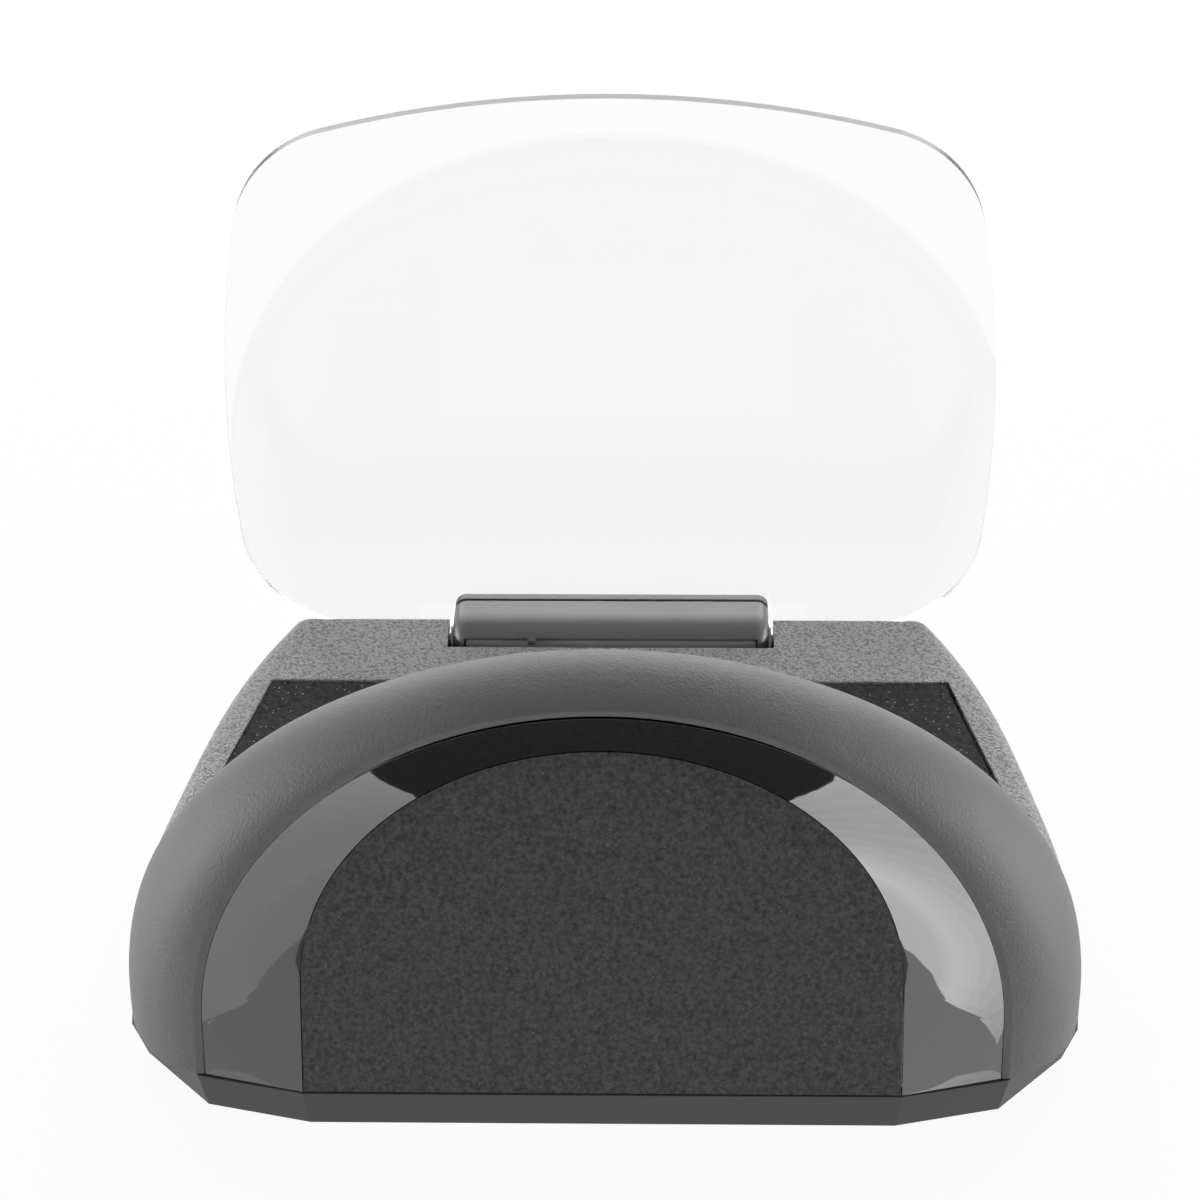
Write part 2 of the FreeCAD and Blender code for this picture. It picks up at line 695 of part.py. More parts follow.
# --------------------------------------------------------- display module

def slope_angle():
    """Return the hood back's slope from level, in degrees."""
    run = size("back_foot_y") - size("split_y")
    base = size("deck_z") - size("well_depth") + size("back_foot_rise")
    return degrees(atan2(size("back_rise_z") - base, run))


def slope_frame(depth):
    """Return a frame on the window's axis; Z points out, depth goes inwards."""
    run = size("back_foot_y") - size("split_y")
    base = size("deck_z") - size("well_depth") + size("back_foot_rise")
    turn = Rotation(Vector(1, 0, 0), -slope_angle())
    middle = Vector(0, size("split_y") + run / 2, (size("back_rise_z") + base) / 2)
    down = turn.multVec(Vector(0, 1, 0)) * size("window_low")
    inwards = turn.multVec(Vector(0, 0, -1)) * depth
    return Placement(middle + down + inwards, turn)


def slope_box(wide, tall, thick, depth):
    """Return a block on the window's axis whose outer face is at a depth."""
    block = Part.makeBox(wide, tall, thick, Vector(-wide / 2, -tall / 2, -thick))
    block.Placement = slope_frame(depth)
    return block


def on_slope(item, depth):
    """Put a sheet-driven block on the window's axis, outer face at a depth."""
    centre = Vector(-item.Length.Value / 2, -item.Width.Value / 2, -item.Height.Value)
    item.Placement = slope_frame(depth).multiply(Placement(centre, Rotation()))
    return item


def make_hood_back():
    """Rear of the hood: a curved slope with a recessed display window."""
    wall = size("wall")
    outer = hood_back_block()
    inner = hood_back_block(grow=-wall, low=0.0)
    inner = inner.common(slab(-100, 100, size("deck_z") - size("well_depth") - 0.01, 100))
    inner = inner.fuse(slab(size("split_y") - 5, size("split_y") + 0.01, 0, 5, half=1))
    seat = size("window_seat")
    drop = size("window_drop")
    wide = size("window_wide") + 2 * size("fit_gap")
    tall = size("window_tall") + 2 * size("fit_gap")
    frame_block = slope_box(wide + 6, tall + 6, size("window_thick") + seat + drop, 0.0)
    frame_block = frame_block.common(outer)
    shell = outer.cut(inner).fuse(frame_block)
    recess = slope_box(wide, tall, drop + size("window_thick") + 8, -8.0)
    aperture = slope_box(wide - 2 * seat, tall - 2 * seat, 40, 0)
    shell = shell.cut([recess, aperture])
    shell = shell.common(slab(size("split_y"), 100, 0, 100))
    return feature("hood_back", one_solid(shell))


def stack_depth(*names):
    """Return the depth below the crown after the window seat and some layers."""
    start = size("window_drop") + size("window_thick") + size("window_seat")
    return start + sum(size(name) for name in names)


def slope_layer(name, wide, tall, thick, depth):
    """Add one sheet-driven layer of the display module."""
    item = box(name, wide, tall, thick, "0", "0", "0")
    doc.recompute()
    for axis in ("x", "y", "z"):
        item.setExpression("Placement.Base." + axis, None)
    return on_slope(item, depth)


def make_display():
    """Window pane, display panel, diffuser, light box, board, diodes and sink."""
    seen_wide = "Sizes.window_wide - 2 * Sizes.window_seat"
    seen_tall = "Sizes.window_tall - 2 * Sizes.window_seat"
    wide = seen_wide + " + 2 * Sizes.panel_frame"
    tall = seen_tall + " + 2 * Sizes.panel_frame"
    pane = slope_layer(
        "display_window", "Sizes.window_wide", "Sizes.window_tall", "Sizes.window_thick",
        size("window_drop"))
    panel = slope_layer("display_panel", wide, tall, "Sizes.panel_thick", stack_depth())
    diffuser = slope_layer(
        "diffuser_sheet", wide, tall, "Sizes.diffuser_thick", stack_depth("panel_thick"))
    box_depth = stack_depth("panel_thick", "diffuser_thick")
    outer = slope_layer("light_box_block", wide, tall, "Sizes.light_box_deep", box_depth)
    inner = slope_layer(
        "light_box_hollow", wide + " - 2 * Sizes.light_box_wall",
        tall + " - 2 * Sizes.light_box_wall", "Sizes.light_box_deep", box_depth)
    light_box = cut("light_box", outer, inner)
    board_depth = box_depth + size("light_box_deep")
    board = slope_layer("backlight_board", wide, tall, "Sizes.led_board_thick", board_depth)
    leds = []
    for column in range(-2, 3):
        for row in (-1, 1):
            led = slope_layer(
                "led", "Sizes.led_side", "Sizes.led_side", "Sizes.led_tall",
                board_depth - size("led_tall"))
            step = Vector(column * size("window_wide") / 6, row * size("window_tall") / 5, 0)
            led.Placement = led.Placement.multiply(Placement(step, Rotation()))
            leds.append(led)
    sink_depth = board_depth + size("led_board_thick")
    sink = [slope_layer("sink_plate", wide, tall, "Sizes.sink_base", sink_depth)]
    fins = 6
    for index in range(fins):
        fin = slope_layer(
            "sink_fin_bar", wide, "Sizes.sink_fin_thick", "Sizes.sink_fin",
            sink_depth + size("sink_base"))
        offset = (index - (fins - 1) / 2) * size("window_tall") / (fins + 1)
        fin.Placement = fin.Placement.multiply(Placement(Vector(0, offset, 0), Rotation()))
        sink.append(fin)
    return [
        pane, panel, diffuser, light_box, board,
        group("backlight_leds", leds), fuse("heat_sink", sink),
    ]


# ------------------------------------------------------- hinge and combiner

def plate_outline(y):
    """Return the combiner's rounded outline in the plane at y."""
    high = size("plate_high_z")
    low = size("plate_low_z")
    half = size("plate_half")
    side_high = high - size("plate_crown") - size("plate_top_drop")
    side_low = low + size("plate_belly") + size("plate_low_drop")
    side_x = half - size("plate_bow_high")
    side_low_x = half - size("plate_bow_low")
    top_x = side_x - size("plate_top_corner")
    low_x = side_low_x - size("plate_low_corner")
    top_end = (top_x, high - size("plate_crown"))
    low_end = (low_x, low + size("plate_belly"))
    bulge = 0.64
    top_mid = (
        top_x + bulge * size("plate_top_corner"), side_high + bulge * size("plate_top_drop"))
    low_mid = (
        low_x + bulge * size("plate_low_corner"), side_low - bulge * size("plate_low_drop"))
    right = [
        (top_end, top_mid, (side_x, side_high)),
        ((side_x, side_high), (half, size("plate_wide_z")), (side_low_x, side_low)),
        ((side_low_x, side_low), low_mid, low_end),
    ]
    edges = [arc((-top_x, y, top_end[1]), (0, y, high), (top_x, y, top_end[1]))]
    for points in right:
        edges.append(arc(*[(x, y, z) for x, z in points]))
    edges.append(arc((low_x, y, low_end[1]), (0, y, low), (-low_x, y, low_end[1])))
    for points in right[::-1]:
        edges.append(arc(*[(-x, y, z) for x, z in points[::-1]]))
    return Part.Wire(edges)


def clamp_holes(radius, front, rear):
    """Return cylinders along Y at the clamp screws."""
    return [
        Part.makeCylinder(
            radius, rear - front, Vector(side * size("clamp_screw_x"), front,
                                         size("clamp_screw_z")), Vector(0, 1, 0))
        for side in (-1, 1)
    ]


def make_combiner_plate():
    """Clear partly mirrored plate."""
    front = size("plate_y")
    plate = Part.Face(plate_outline(front)).extrude(Vector(0, size("plate_thick"), 0))
    holes = clamp_holes(size("clamp_shank") + 0.1, front - 1, front + 5)
    return feature("combiner_plate", one_solid(plate.cut(holes)))


def barrel_profile(x):
    """Return the D-shaped section of the barrel: flat top, round front."""
    radius = size("barrel_round")
    y = size("axis_y")
    z = size("axis_z")
    rear = size("plate_y") - size("pad_thick")
    edges = [
        line((x, rear, z - radius), (x, rear, z + radius)),
        line((x, rear, z + radius), (x, y, z + radius)),
        arc((x, y, z + radius), (x, y - radius, z), (x, y, z - radius)),
        line((x, y, z - radius), (x, rear, z - radius)),
    ]
    return Part.Wire(edges)


def strip_block(gap, inner, outer):
    """Return a curved strip on the barrel's lower front between two radii."""
    half = size("strip_half") + gap
    centre = Vector(-half, size("axis_y"), size("axis_z"))
    along = Vector(1, 0, 0)
    tube = Part.makeCylinder(outer, 2 * half, centre, along)
    tube = tube.cut(Part.makeCylinder(inner, 2 * half, centre, along))
    high = size("strip_high_z") + gap
    low = high - size("strip_tall") - 2 * gap
    return tube.common(slab(0, size("axis_y"), low, high))


def make_hinge_barrel():
    """Rounded front half of the combiner's clamp, bored for the pin."""
    half = size("barrel_half")
    barrel = Part.Face(barrel_profile(-half)).extrude(Vector(2 * half, 0, 0))
    corners = []
    for edge in barrel.Edges:
        box_of = edge.BoundBox
        at_end = box_of.XLength < 0.01
        if at_end and box_of.YMin < size("axis_y") - 1:
            corners.append(edge)
    barrel = barrel.makeFillet(size("barrel_end"), corners)
    bore = Part.makeCylinder(
        size("pin_round"), 4 * half, Vector(-2 * half, size("axis_y"), size("axis_z")),
        Vector(1, 0, 0))
    inset = strip_block(size("strip_gap"), size("barrel_round") - 0.9, size("barrel_round") + 1)
    holes = clamp_holes(size("clamp_shank"), size("axis_y") - 1.4, size("plate_y") + 1)
    return feature("hinge_barrel", one_solid(barrel.cut([bore, inset] + holes)))


def make_barrel_strip():
    """Narrow inset strip along the barrel's front."""
    radius = size("barrel_round")
    return feature("barrel_strip", one_solid(strip_block(0.0, radius - 0.9, radius - 0.25)))


def make_clamp_back():
    """Rear half of the clamp, behind the plate, with rounded edges."""
    half = size("barrel_half")
    front = size("plate_y") + size("plate_thick") + size("pad_thick")
    low = size("clamp_back_low_z")
    block = Part.makeBox(
        2 * half, size("clamp_back_thick"), size("clamp_back_high_z") - low,
        Vector(-half, front, low))
    upper_corners = []
    for edge in block.Edges:
        box_of = edge.BoundBox
        if box_of.YLength > 1 and box_of.ZMin > low + 1:
            upper_corners.append(edge)
    block = block.makeFillet(size("clamp_back_end"), upper_corners)
    rear_edges = [
        edge for edge in block.Edges if edge.BoundBox.YMin > front + size("clamp_back_thick") - 0.01
    ]
    block = block.makeFillet(0.6, rear_edges)
    rear = front + size("clamp_back_thick")
    holes = clamp_holes(size("clamp_shank") + 0.1, front - 1, rear + 1)
    heads = clamp_holes(size("clamp_head") + 0.1, rear - size("clamp_head_tall"), rear + 1)
    block = block.cut(holes + heads)
    return feature("clamp_back", one_solid(block))


def make_gasket_pads():
    """Thin soft pads between the plate and the two halves of its clamp."""
    pads = []
    low = size("plate_low_z") + size("plate_belly")
    high = size("clamp_back_high_z") - 0.3
    half = size("barrel_half") - 0.5
    front = size("plate_y")
    rear = front + size("plate_thick")
    for y in (front - size("pad_thick"), rear):
        pad = Part.makeBox(2 * half, size("pad_thick"), high - low, Vector(-half, y, low))
        pads.append(pad.cut(clamp_holes(size("clamp_shank") + 0.1, y - 1, y + 1)))
    return feature("gasket_pads", Part.makeCompound([pad.Solids[0] for pad in pads]))


def make_clamp_screws():
    """Two screws that pull the clamp together through the plate."""
    rear = size("plate_y") + size("plate_thick") + size("pad_thick") + size("clamp_back_thick")
    seat = rear - size("clamp_head_tall")
    shanks = clamp_holes(size("clamp_shank"), size("axis_y") - 1.2, seat)
    heads = clamp_holes(size("clamp_head"), seat, rear)
    long, narrow = size("clamp_slot"), size("clamp_slot") / 4
    screws = []
    for shank, head in zip(shanks, heads):
        middle = Vector(head.CenterOfMass.x, rear, head.CenterOfMass.z)
        bars = []
        for wide, tall in ((long, narrow), (narrow, long)):
            corner = middle - Vector(wide / 2, narrow, tall / 2)
            bars.append(Part.makeBox(wide, narrow, tall, corner))
        screws.append(shank.fuse(head).cut(bars).removeSplitter().Solids[0])
    return feature("clamp_screws", Part.makeCompound(screws))


def make_hinge_pin():
    """Steel pin through the barrel into both cheeks."""
    reach = "(Sizes.barrel_half + Sizes.notch_gap + Sizes.cheek - 1.2)"
    return cylinder(
        "hinge_pin", "Sizes.pin_round", "2 * " + reach, "-" + reach, "Sizes.axis_y",
        "Sizes.axis_z", axis="x")


def make_friction_washers():
    """Thin washers between the barrel's ends and the cheeks."""
    washers = []
    starts = ("Sizes.barrel_half", "-Sizes.barrel_half - Sizes.washer_thick")
    for index, start in enumerate(starts):
        disc = cylinder(
            f"washer_disc_{index}", "Sizes.washer_round", "Sizes.washer_thick", start,
            "Sizes.axis_y", "Sizes.axis_z", axis="x")
        hole = cylinder(
            f"washer_hole_{index}", "Sizes.pin_round", "Sizes.washer_thick", start,
            "Sizes.axis_y", "Sizes.axis_z", axis="x")
        washers.append(cut(f"washer_{index}", disc, hole))
    return group("friction_washers", washers)


# -------------------------------------------------------------- electronics

def make_main_board():
    """Main board: a padded outline with four screw holes."""
    body = doc.addObject("PartDesign::Body", "main_board")
    plane = [item for item in body.Origin.OriginFeatures if item.Role == "XY_Plane"][0]
    sketch = body.newObject("Sketcher::SketchObject", "board_outline")
    sketch.AttachmentSupport = [(plane, "")]
    sketch.MapMode = "FlatFace"
    left = -size("board_half")
    front = size("board_front_y")
    rear = size("board_rear_y")
    corners = [(left, front), (-left, front), (-left, rear), (left, rear)]
    for index in range(4):
        start = Vector(*corners[index], 0)
        end = Vector(*corners[(index + 1) % 4], 0)
        sketch.addGeometry(Part.LineSegment(start, end), False)
    for index in range(4):
        sketch.addConstraint(
            Sketcher.Constraint("Coincident", index, 2, (index + 1) % 4, 1))
    for index, kind in enumerate(("Horizontal", "Vertical", "Horizontal", "Vertical")):
        sketch.addConstraint(Sketcher.Constraint(kind, index))
    bound = [
        (Sketcher.Constraint("DistanceX", 0, 1, -1, 1, -left), "Sizes.board_half"),
        (Sketcher.Constraint("DistanceX", -1, 1, 0, 2, -left), "Sizes.board_half"),
        (Sketcher.Constraint("DistanceY", 0, 1, -1, 1, -front), "-Sizes.board_front_y"),
        (Sketcher.Constraint("DistanceY", -1, 1, 2, 1, rear), "Sizes.board_rear_y"),
    ]
    for constraint, expression in bound:
        number = sketch.addConstraint(constraint)
        sketch.setExpression(f"Constraints[{number}]", expression)
    pad = body.newObject("PartDesign::Pad", "board_pad")
    pad.Profile = sketch
    pad.setExpression("Length", "Sizes.board_thick")
    holes = body.newObject("Sketcher::SketchObject", "board_holes")
    holes.AttachmentSupport = [(plane, "")]
    holes.MapMode = "FlatFace"
    for index, (x, y) in enumerate(board_screw_places()):
        holes.addGeometry(
            Part.Circle(Vector(x, y, 0), Vector(0, 0, 1), size("small_screw") + 0.15), False)
        number = holes.addConstraint(
            Sketcher.Constraint("Radius", index, size("small_screw") + 0.15))
        holes.setExpression(f"Constraints[{number}]", "Sizes.small_screw + 0.15")
        for kind, value, alias in (
                ("DistanceX", x, "Sizes.board_screw_x"),
                ("DistanceY", y, "Sizes.board_screw_" + ("rear_y" if y > 0 else "front_y"))):
            forwards = value > 0
            ends = (-1, 1, index, 3) if forwards else (index, 3, -1, 1)
            number = holes.addConstraint(Sketcher.Constraint(kind, *ends, abs(value)))
            sign = "-" if alias.endswith("front_y") else ""
            holes.setExpression(f"Constraints[{number}]", sign + alias)
    doc.recompute()
    pocket = body.newObject("PartDesign::Pocket", "board_drill")
    pocket.Profile = holes
    pocket.Type = "ThroughAll"
    pocket.Reversed = True
    body.Tip = pocket
    place_at(body, "0", "0", "Sizes.pan_lift + Sizes.pan_floor + Sizes.board_post")
    return body


BOARD_TOP = "(Sizes.pan_lift + Sizes.pan_floor + Sizes.board_post + Sizes.board_thick)"


def make_power_socket():
    """Power inlet: a metal shell with a tongue, at the board's rear edge."""
    wide = size("socket_wide")
    tall = size("socket_tall")
    wall = size("socket_wall")
    rear = size("rear_y") - 0.6
    front = rear - size("socket_deep")
    x = size("socket_x")
    z = board_top()
    shell = Part.makeBox(wide, size("socket_deep"), tall, Vector(x - wide / 2, front, z))
    along = [edge for edge in shell.Edges if edge.BoundBox.YLength > 1]
    shell = shell.makeFillet(tall / 2 - 0.35, along)
    hollow = Part.makeBox(
        wide - 2 * wall, size("socket_deep"), tall - 2 * wall,
        Vector(x - wide / 2 + wall, front + 1.0, z + wall))
    along = [edge for edge in hollow.Edges if edge.BoundBox.YLength > 1]
    hollow = hollow.makeFillet((tall - 2 * wall) / 2 - 0.25, along)
    tongue = Part.makeBox(
        wide - 3.0, size("socket_deep") - 1.2, size("socket_tongue"),
        Vector(x - wide / 2 + 1.5, front + 0.5, z + tall / 2 - size("socket_tongue") / 2))
    return feature("power_socket", one_solid(shell.cut(hollow).fuse(tongue)))


def make_power_button():
    """Button cap in the rear wall, with a flange that keeps it in."""
    rear = size("rear_y")
    cap = button_block(0.0, rear - size("button_inside"), rear + size("button_proud"))
    outer_edges = [
        edge for edge in cap.Edges if edge.BoundBox.YMin > rear + size("button_proud") - 0.01
    ]
    return feature("power_button", one_solid(cap.makeFillet(0.35, outer_edges)))


def make_button_switch():
    """Side-acting switch on the board in front of the button cap."""
    depth = 3.4
    gap = size("button_travel") + 0.1
    rear = size("rear_y") - size("button_inside") - gap
    x = size("button_x")
    block = Part.makeBox(6.0, depth, 3.8, Vector(x - 3.0, rear - depth - 0.6, board_top()))
    plunger = Part.makeBox(2.6, 1.0, 1.4, Vector(x - 1.3, rear - 1.0, size("button_low_z") + 0.4))
    return feature("button_switch", one_solid(block.fuse(plunger)))


def make_board_parts():
    """Processor, shield can, capacitors, inductor and sounder on the board."""
    chip = box(
        "processor", "Sizes.chip_side", "Sizes.chip_side", "Sizes.chip_tall",
        "Sizes.chip_x", "Sizes.chip_y", BOARD_TOP)
    can_outer = box(
        "shield_outer", "Sizes.shield_wide", "Sizes.shield_deep", "Sizes.shield_tall",
        "Sizes.shield_x", "Sizes.shield_y", BOARD_TOP)
    can_inner = box(
        "shield_inner", "Sizes.shield_wide - 2 * Sizes.shield_wall",
        "Sizes.shield_deep - 2 * Sizes.shield_wall", "Sizes.shield_tall - Sizes.shield_wall",
        "-4 + Sizes.shield_wall", "-12 + Sizes.shield_wall", BOARD_TOP)
    can = cut("radio_shield", can_outer, can_inner)
    caps = [
        cylinder(
            f"capacitor_{index}", "Sizes.cap_round", "Sizes.cap_tall",
            f"Sizes.cap_x - {index} * (2 * Sizes.cap_round + Sizes.cap_apart)",
            "Sizes.power_row_y", BOARD_TOP)
        for index in range(3)
    ]
    coil = box(
        "power_inductor", "Sizes.coil_side", "Sizes.coil_side", "Sizes.coil_tall",
        "Sizes.coil_x", "Sizes.power_row_y", BOARD_TOP)
    sounder = cylinder(
        "sounder", "Sizes.sounder_round", "Sizes.sounder_tall", "Sizes.sounder_x",
        "Sizes.power_row_y", BOARD_TOP)
    return [chip, can, group("capacitors", caps), coil, sounder]


def make_display_ribbon():
    """Flat ribbon from the backlight board down to a plug on the main board."""
    depth = stack_depth("panel_thick", "diffuser_thick", "light_box_deep", "led_board_thick")
    frame = slope_frame(depth + size("sink_base") + size("sink_fin") + 0.4)
    low_edge = size("window_tall") / 2 - size("window_seat") + size("panel_frame")
    start = frame.multVec(Vector(0, low_edge - 3.0, 0))
    thick = size("ribbon_thick")
    half = size("ribbon_wide") / 2
    plug_top = board_top() + 1.6
    plug_y = size("board_front_y") + 4.0
    points = [
        (start.y, start.z), (start.y - 0.2, start.z - 2.5), (plug_y, plug_top + 2.0),
        (plug_y, plug_top),
    ]
    run = [Vector(-half, y, z) for y, z in points]
    back = [Vector(-half, y + thick, z) for y, z in points[::-1]]
    wire = Part.makePolygon(run + back + [run[0]])
    return feature("display_ribbon", Part.Face(wire).extrude(Vector(2 * half, 0, 0)))


def make_ribbon_plug():
    """Low connector that takes the ribbon on the main board."""
    return box(
        "ribbon_plug", "Sizes.ribbon_wide + 2 * Sizes.plug_margin", "Sizes.plug_deep",
        "Sizes.plug_tall", "-Sizes.ribbon_wide / 2 - Sizes.plug_margin",
        "Sizes.board_front_y + Sizes.plug_set_back", BOARD_TOP)


def screw(x, y, seat_z, radius, head_round, head_tall, long):
    """Return a cross-head screw along Z; a negative length points down."""
    up = 1 if long > 0 else -1
    shank = Part.makeCylinder(radius, abs(long), Vector(x, y, seat_z), Vector(0, 0, up))
    head = Part.makeCylinder(head_round, head_tall, Vector(x, y, seat_z), Vector(0, 0, -up))
    reach = head_round * 0.7
    outer = seat_z - up * head_tall
    low = min(outer, outer + up * 0.5)
    slots = [
        Part.makeBox(2 * reach, 0.5, 0.5, Vector(x - reach, y - 0.25, low)),
        Part.makeBox(0.5, 2 * reach, 0.5, Vector(x - 0.25, y - reach, low)),
    ]
    return shank.fuse(head).cut(slots).removeSplitter().Solids[0]


def make_case_screws():
    """Four screws from below that hold the pan to the upper shells."""
    seat = size("pan_lift") + size("case_head_tall") + 0.5
    screws = [
        screw(x, y, seat, size("case_screw"), size("case_head"), size("case_head_tall"),
              size("case_screw_long"))
        for x, y in case_screw_places()
    ]
    return feature("case_screws", Part.makeCompound(screws))


def make_board_screws():
    """Four screws that hold the main board on its posts."""
    long = -(board_top() - size("pan_lift") - size("pan_floor") + 0.3)
    screws = [
        screw(x, y, board_top(), size("small_screw"), size("small_head"),
              size("small_head_tall"), long)
        for x, y in board_screw_places()
    ]
    return feature("board_screws", Part.makeCompound(screws))


# ------------------------------------------------------------------- build

nodes = [
    make_base_pan(), make_grip_pad(), make_body_shell(), make_anti_glare_mat(),
    make_hood_ring(), make_flare_bezel(), make_face_panel(), make_hood_back(),
    make_combiner_plate(), make_hinge_barrel(), make_barrel_strip(), make_clamp_back(),
    make_gasket_pads(), make_clamp_screws(), make_hinge_pin(), make_friction_washers(),
    make_main_board(), make_power_socket(), make_power_button(), make_button_switch(),
    make_display_ribbon(), make_ribbon_plug(), make_case_screws(), make_board_screws(),
]
nodes += make_display()
nodes += make_board_parts()
doc.recompute()

faults = [item.Label for item in doc.Objects if {"Invalid", "Error"} & set(item.State)]
for node in nodes:
    if node.Shape.isNull() or not node.Shape.isValid() or not node.Shape.Solids:
        faults.append(node.Label)
if faults:
    raise RuntimeError("failed: " + ", ".join(sorted(set(faults))))

os.makedirs("parts", exist_ok=True)
for node in nodes:
    node.Shape.exportStep(os.path.join("parts", node.Label + ".step"))
    print(f"{node.Label:20s} {len(node.Shape.Solids):2d} solids {node.Shape.Volume:10.1f} mm3")
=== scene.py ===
"""Looks of a portable head-up display, built round its packed construction model."""

import logging
import math
import random
from dataclasses import dataclass, field
from enum import Enum
from typing import ClassVar

import bmesh
import bpy
from mathutils import Euler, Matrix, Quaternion, Vector

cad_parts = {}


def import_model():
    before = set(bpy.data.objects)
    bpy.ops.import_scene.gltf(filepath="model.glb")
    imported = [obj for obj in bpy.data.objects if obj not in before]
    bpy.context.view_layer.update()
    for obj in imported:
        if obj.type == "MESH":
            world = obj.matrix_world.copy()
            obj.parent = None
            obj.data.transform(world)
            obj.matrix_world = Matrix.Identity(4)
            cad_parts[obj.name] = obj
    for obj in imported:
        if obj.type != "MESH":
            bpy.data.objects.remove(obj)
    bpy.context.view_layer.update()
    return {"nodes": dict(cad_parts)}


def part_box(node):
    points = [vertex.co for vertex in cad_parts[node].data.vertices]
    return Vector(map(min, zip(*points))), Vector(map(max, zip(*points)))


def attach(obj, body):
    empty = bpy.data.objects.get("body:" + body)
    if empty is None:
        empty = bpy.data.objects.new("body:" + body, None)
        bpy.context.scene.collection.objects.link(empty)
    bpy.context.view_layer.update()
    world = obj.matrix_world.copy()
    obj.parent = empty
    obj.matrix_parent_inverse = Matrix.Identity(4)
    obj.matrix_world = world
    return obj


LOG = logging.getLogger("head_up_display")
MM = 0.001
DUST_WARM = (0.35, 0.34, 0.33, 1.0)
DUST_PALE = (0.4, 0.4, 0.4, 1.0)
DUST_GREY = (0.3, 0.3, 0.3, 1.0)

Colour = tuple[float, float, float]
Place = tuple[float, float, float]
Value = float | bpy.types.NodeSocket


class Socket(Enum):
    """Kinds of socket that a node group may have."""

    VALUE = "NodeSocketFloat"
    NORMAL = "NodeSocketVector"


# --------------------------------------------------------------- node groups


class Body(Enum):
    """Bodies that pieces ride on."""

    HOUSING = "housing"
    COMBINER = "combiner"
    BUTTON = "button"


class Graph:
    """A small wrapper that adds nodes to a tree and joins their sockets."""

    def __init__(self, tree: bpy.types.NodeTree) -> None:
        """Keep the tree that nodes are added to."""
        self.tree = tree

    def add(
        self, kind: str, settings: dict | None = None, **values: Value | tuple,
    ) -> bpy.types.Node:
        """Add a node.

        Args:
            kind: Node type, such as "ShaderNodeMath".
            settings: Properties of the node itself.
            values: Input values or output sockets to link, by input name with
                underscores for spaces, or by index as "i0", "i1" and so on.

        Returns:
            The new node.
        """
        node = self.tree.nodes.new(kind)
        for name, value in (settings or {}).items():
            setattr(node, name, value)
        for name, value in values.items():
            numbered = name[0] == "i" and name[1:].isdigit()
            socket = node.inputs[int(name[1:]) if numbered else name.replace("_", " ")]
            if isinstance(value, bpy.types.NodeSocket):
                self.tree.links.new(value, socket)
            else:
                socket.default_value = value
        return node

    def math(
        self, operation: str, first: Value, second: Value = 0.0, third: Value = 0.0,
    ) -> bpy.types.NodeSocket:
        """Add a Math node.

        Args:
            operation: What the node works out, such as "MULTIPLY".
            first: First value or socket.
            second: Second value or socket.
            third: Third value or socket.

        Returns:
            The result socket.
        """
        node = self.add(
            "ShaderNodeMath", {"operation": operation}, i0=first, i1=second, i2=third)
        return node.outputs[0]

    def remap(
        self, value: Value, low: float, high: float, to_low: float = 0.0, to_high: float = 1.0,
    ) -> bpy.types.NodeSocket:
        """Map a value smoothly from one range to another, clamped at its ends.

        Args:
            value: Value or socket to map.
            low: Start of its range.
            high: End of its range.
            to_low: Result at the start.
            to_high: Result at the end.

        Returns:
            The result socket.
        """
        node = self.add(
            "ShaderNodeMapRange", {"interpolation_type": "SMOOTHSTEP"}, Value=value,
            From_Min=low, From_Max=high, To_Min=to_low, To_Max=to_high)
        return node.outputs["Result"]

    def mix(
        self, factor: Value, first: Value | tuple, second: Value | tuple,
    ) -> bpy.types.NodeSocket:
        """Return the blend of two colours."""
        node = self.add("ShaderNodeMix", {"data_type": "RGBA"}, i0=factor, i6=first, i7=second)
        return node.outputs[2]


def new_group(
    name: str, inputs: dict[str, float], outputs: dict[str, Socket],
) -> tuple[Graph, bpy.types.Node, bpy.types.Node]:
    """Start a shader node group.

    Args:
        name: Name of the group.
        inputs: Default value of each numeric input.
        outputs: Kind of each output.

    Returns:
        The graph of the group, its input node and its output node.
    """
    tree = bpy.data.node_groups.new(name, "ShaderNodeTree")
    for label, default in inputs.items():
        socket = tree.interface.new_socket(
            name=label, in_out="INPUT", socket_type=Socket.VALUE.value)
        socket.default_value = default
    for label, kind in outputs.items():
        tree.interface.new_socket(name=label, in_out="OUTPUT", socket_type=kind.value)
    graph = Graph(tree)
    return graph, graph.add("NodeGroupInput"), graph.add("NodeGroupOutput")


def object_point(graph: Graph) -> bpy.types.NodeSocket:
    """Return the socket of object coordinates, in metres."""
    return graph.add("ShaderNodeTexCoord").outputs["Object"]


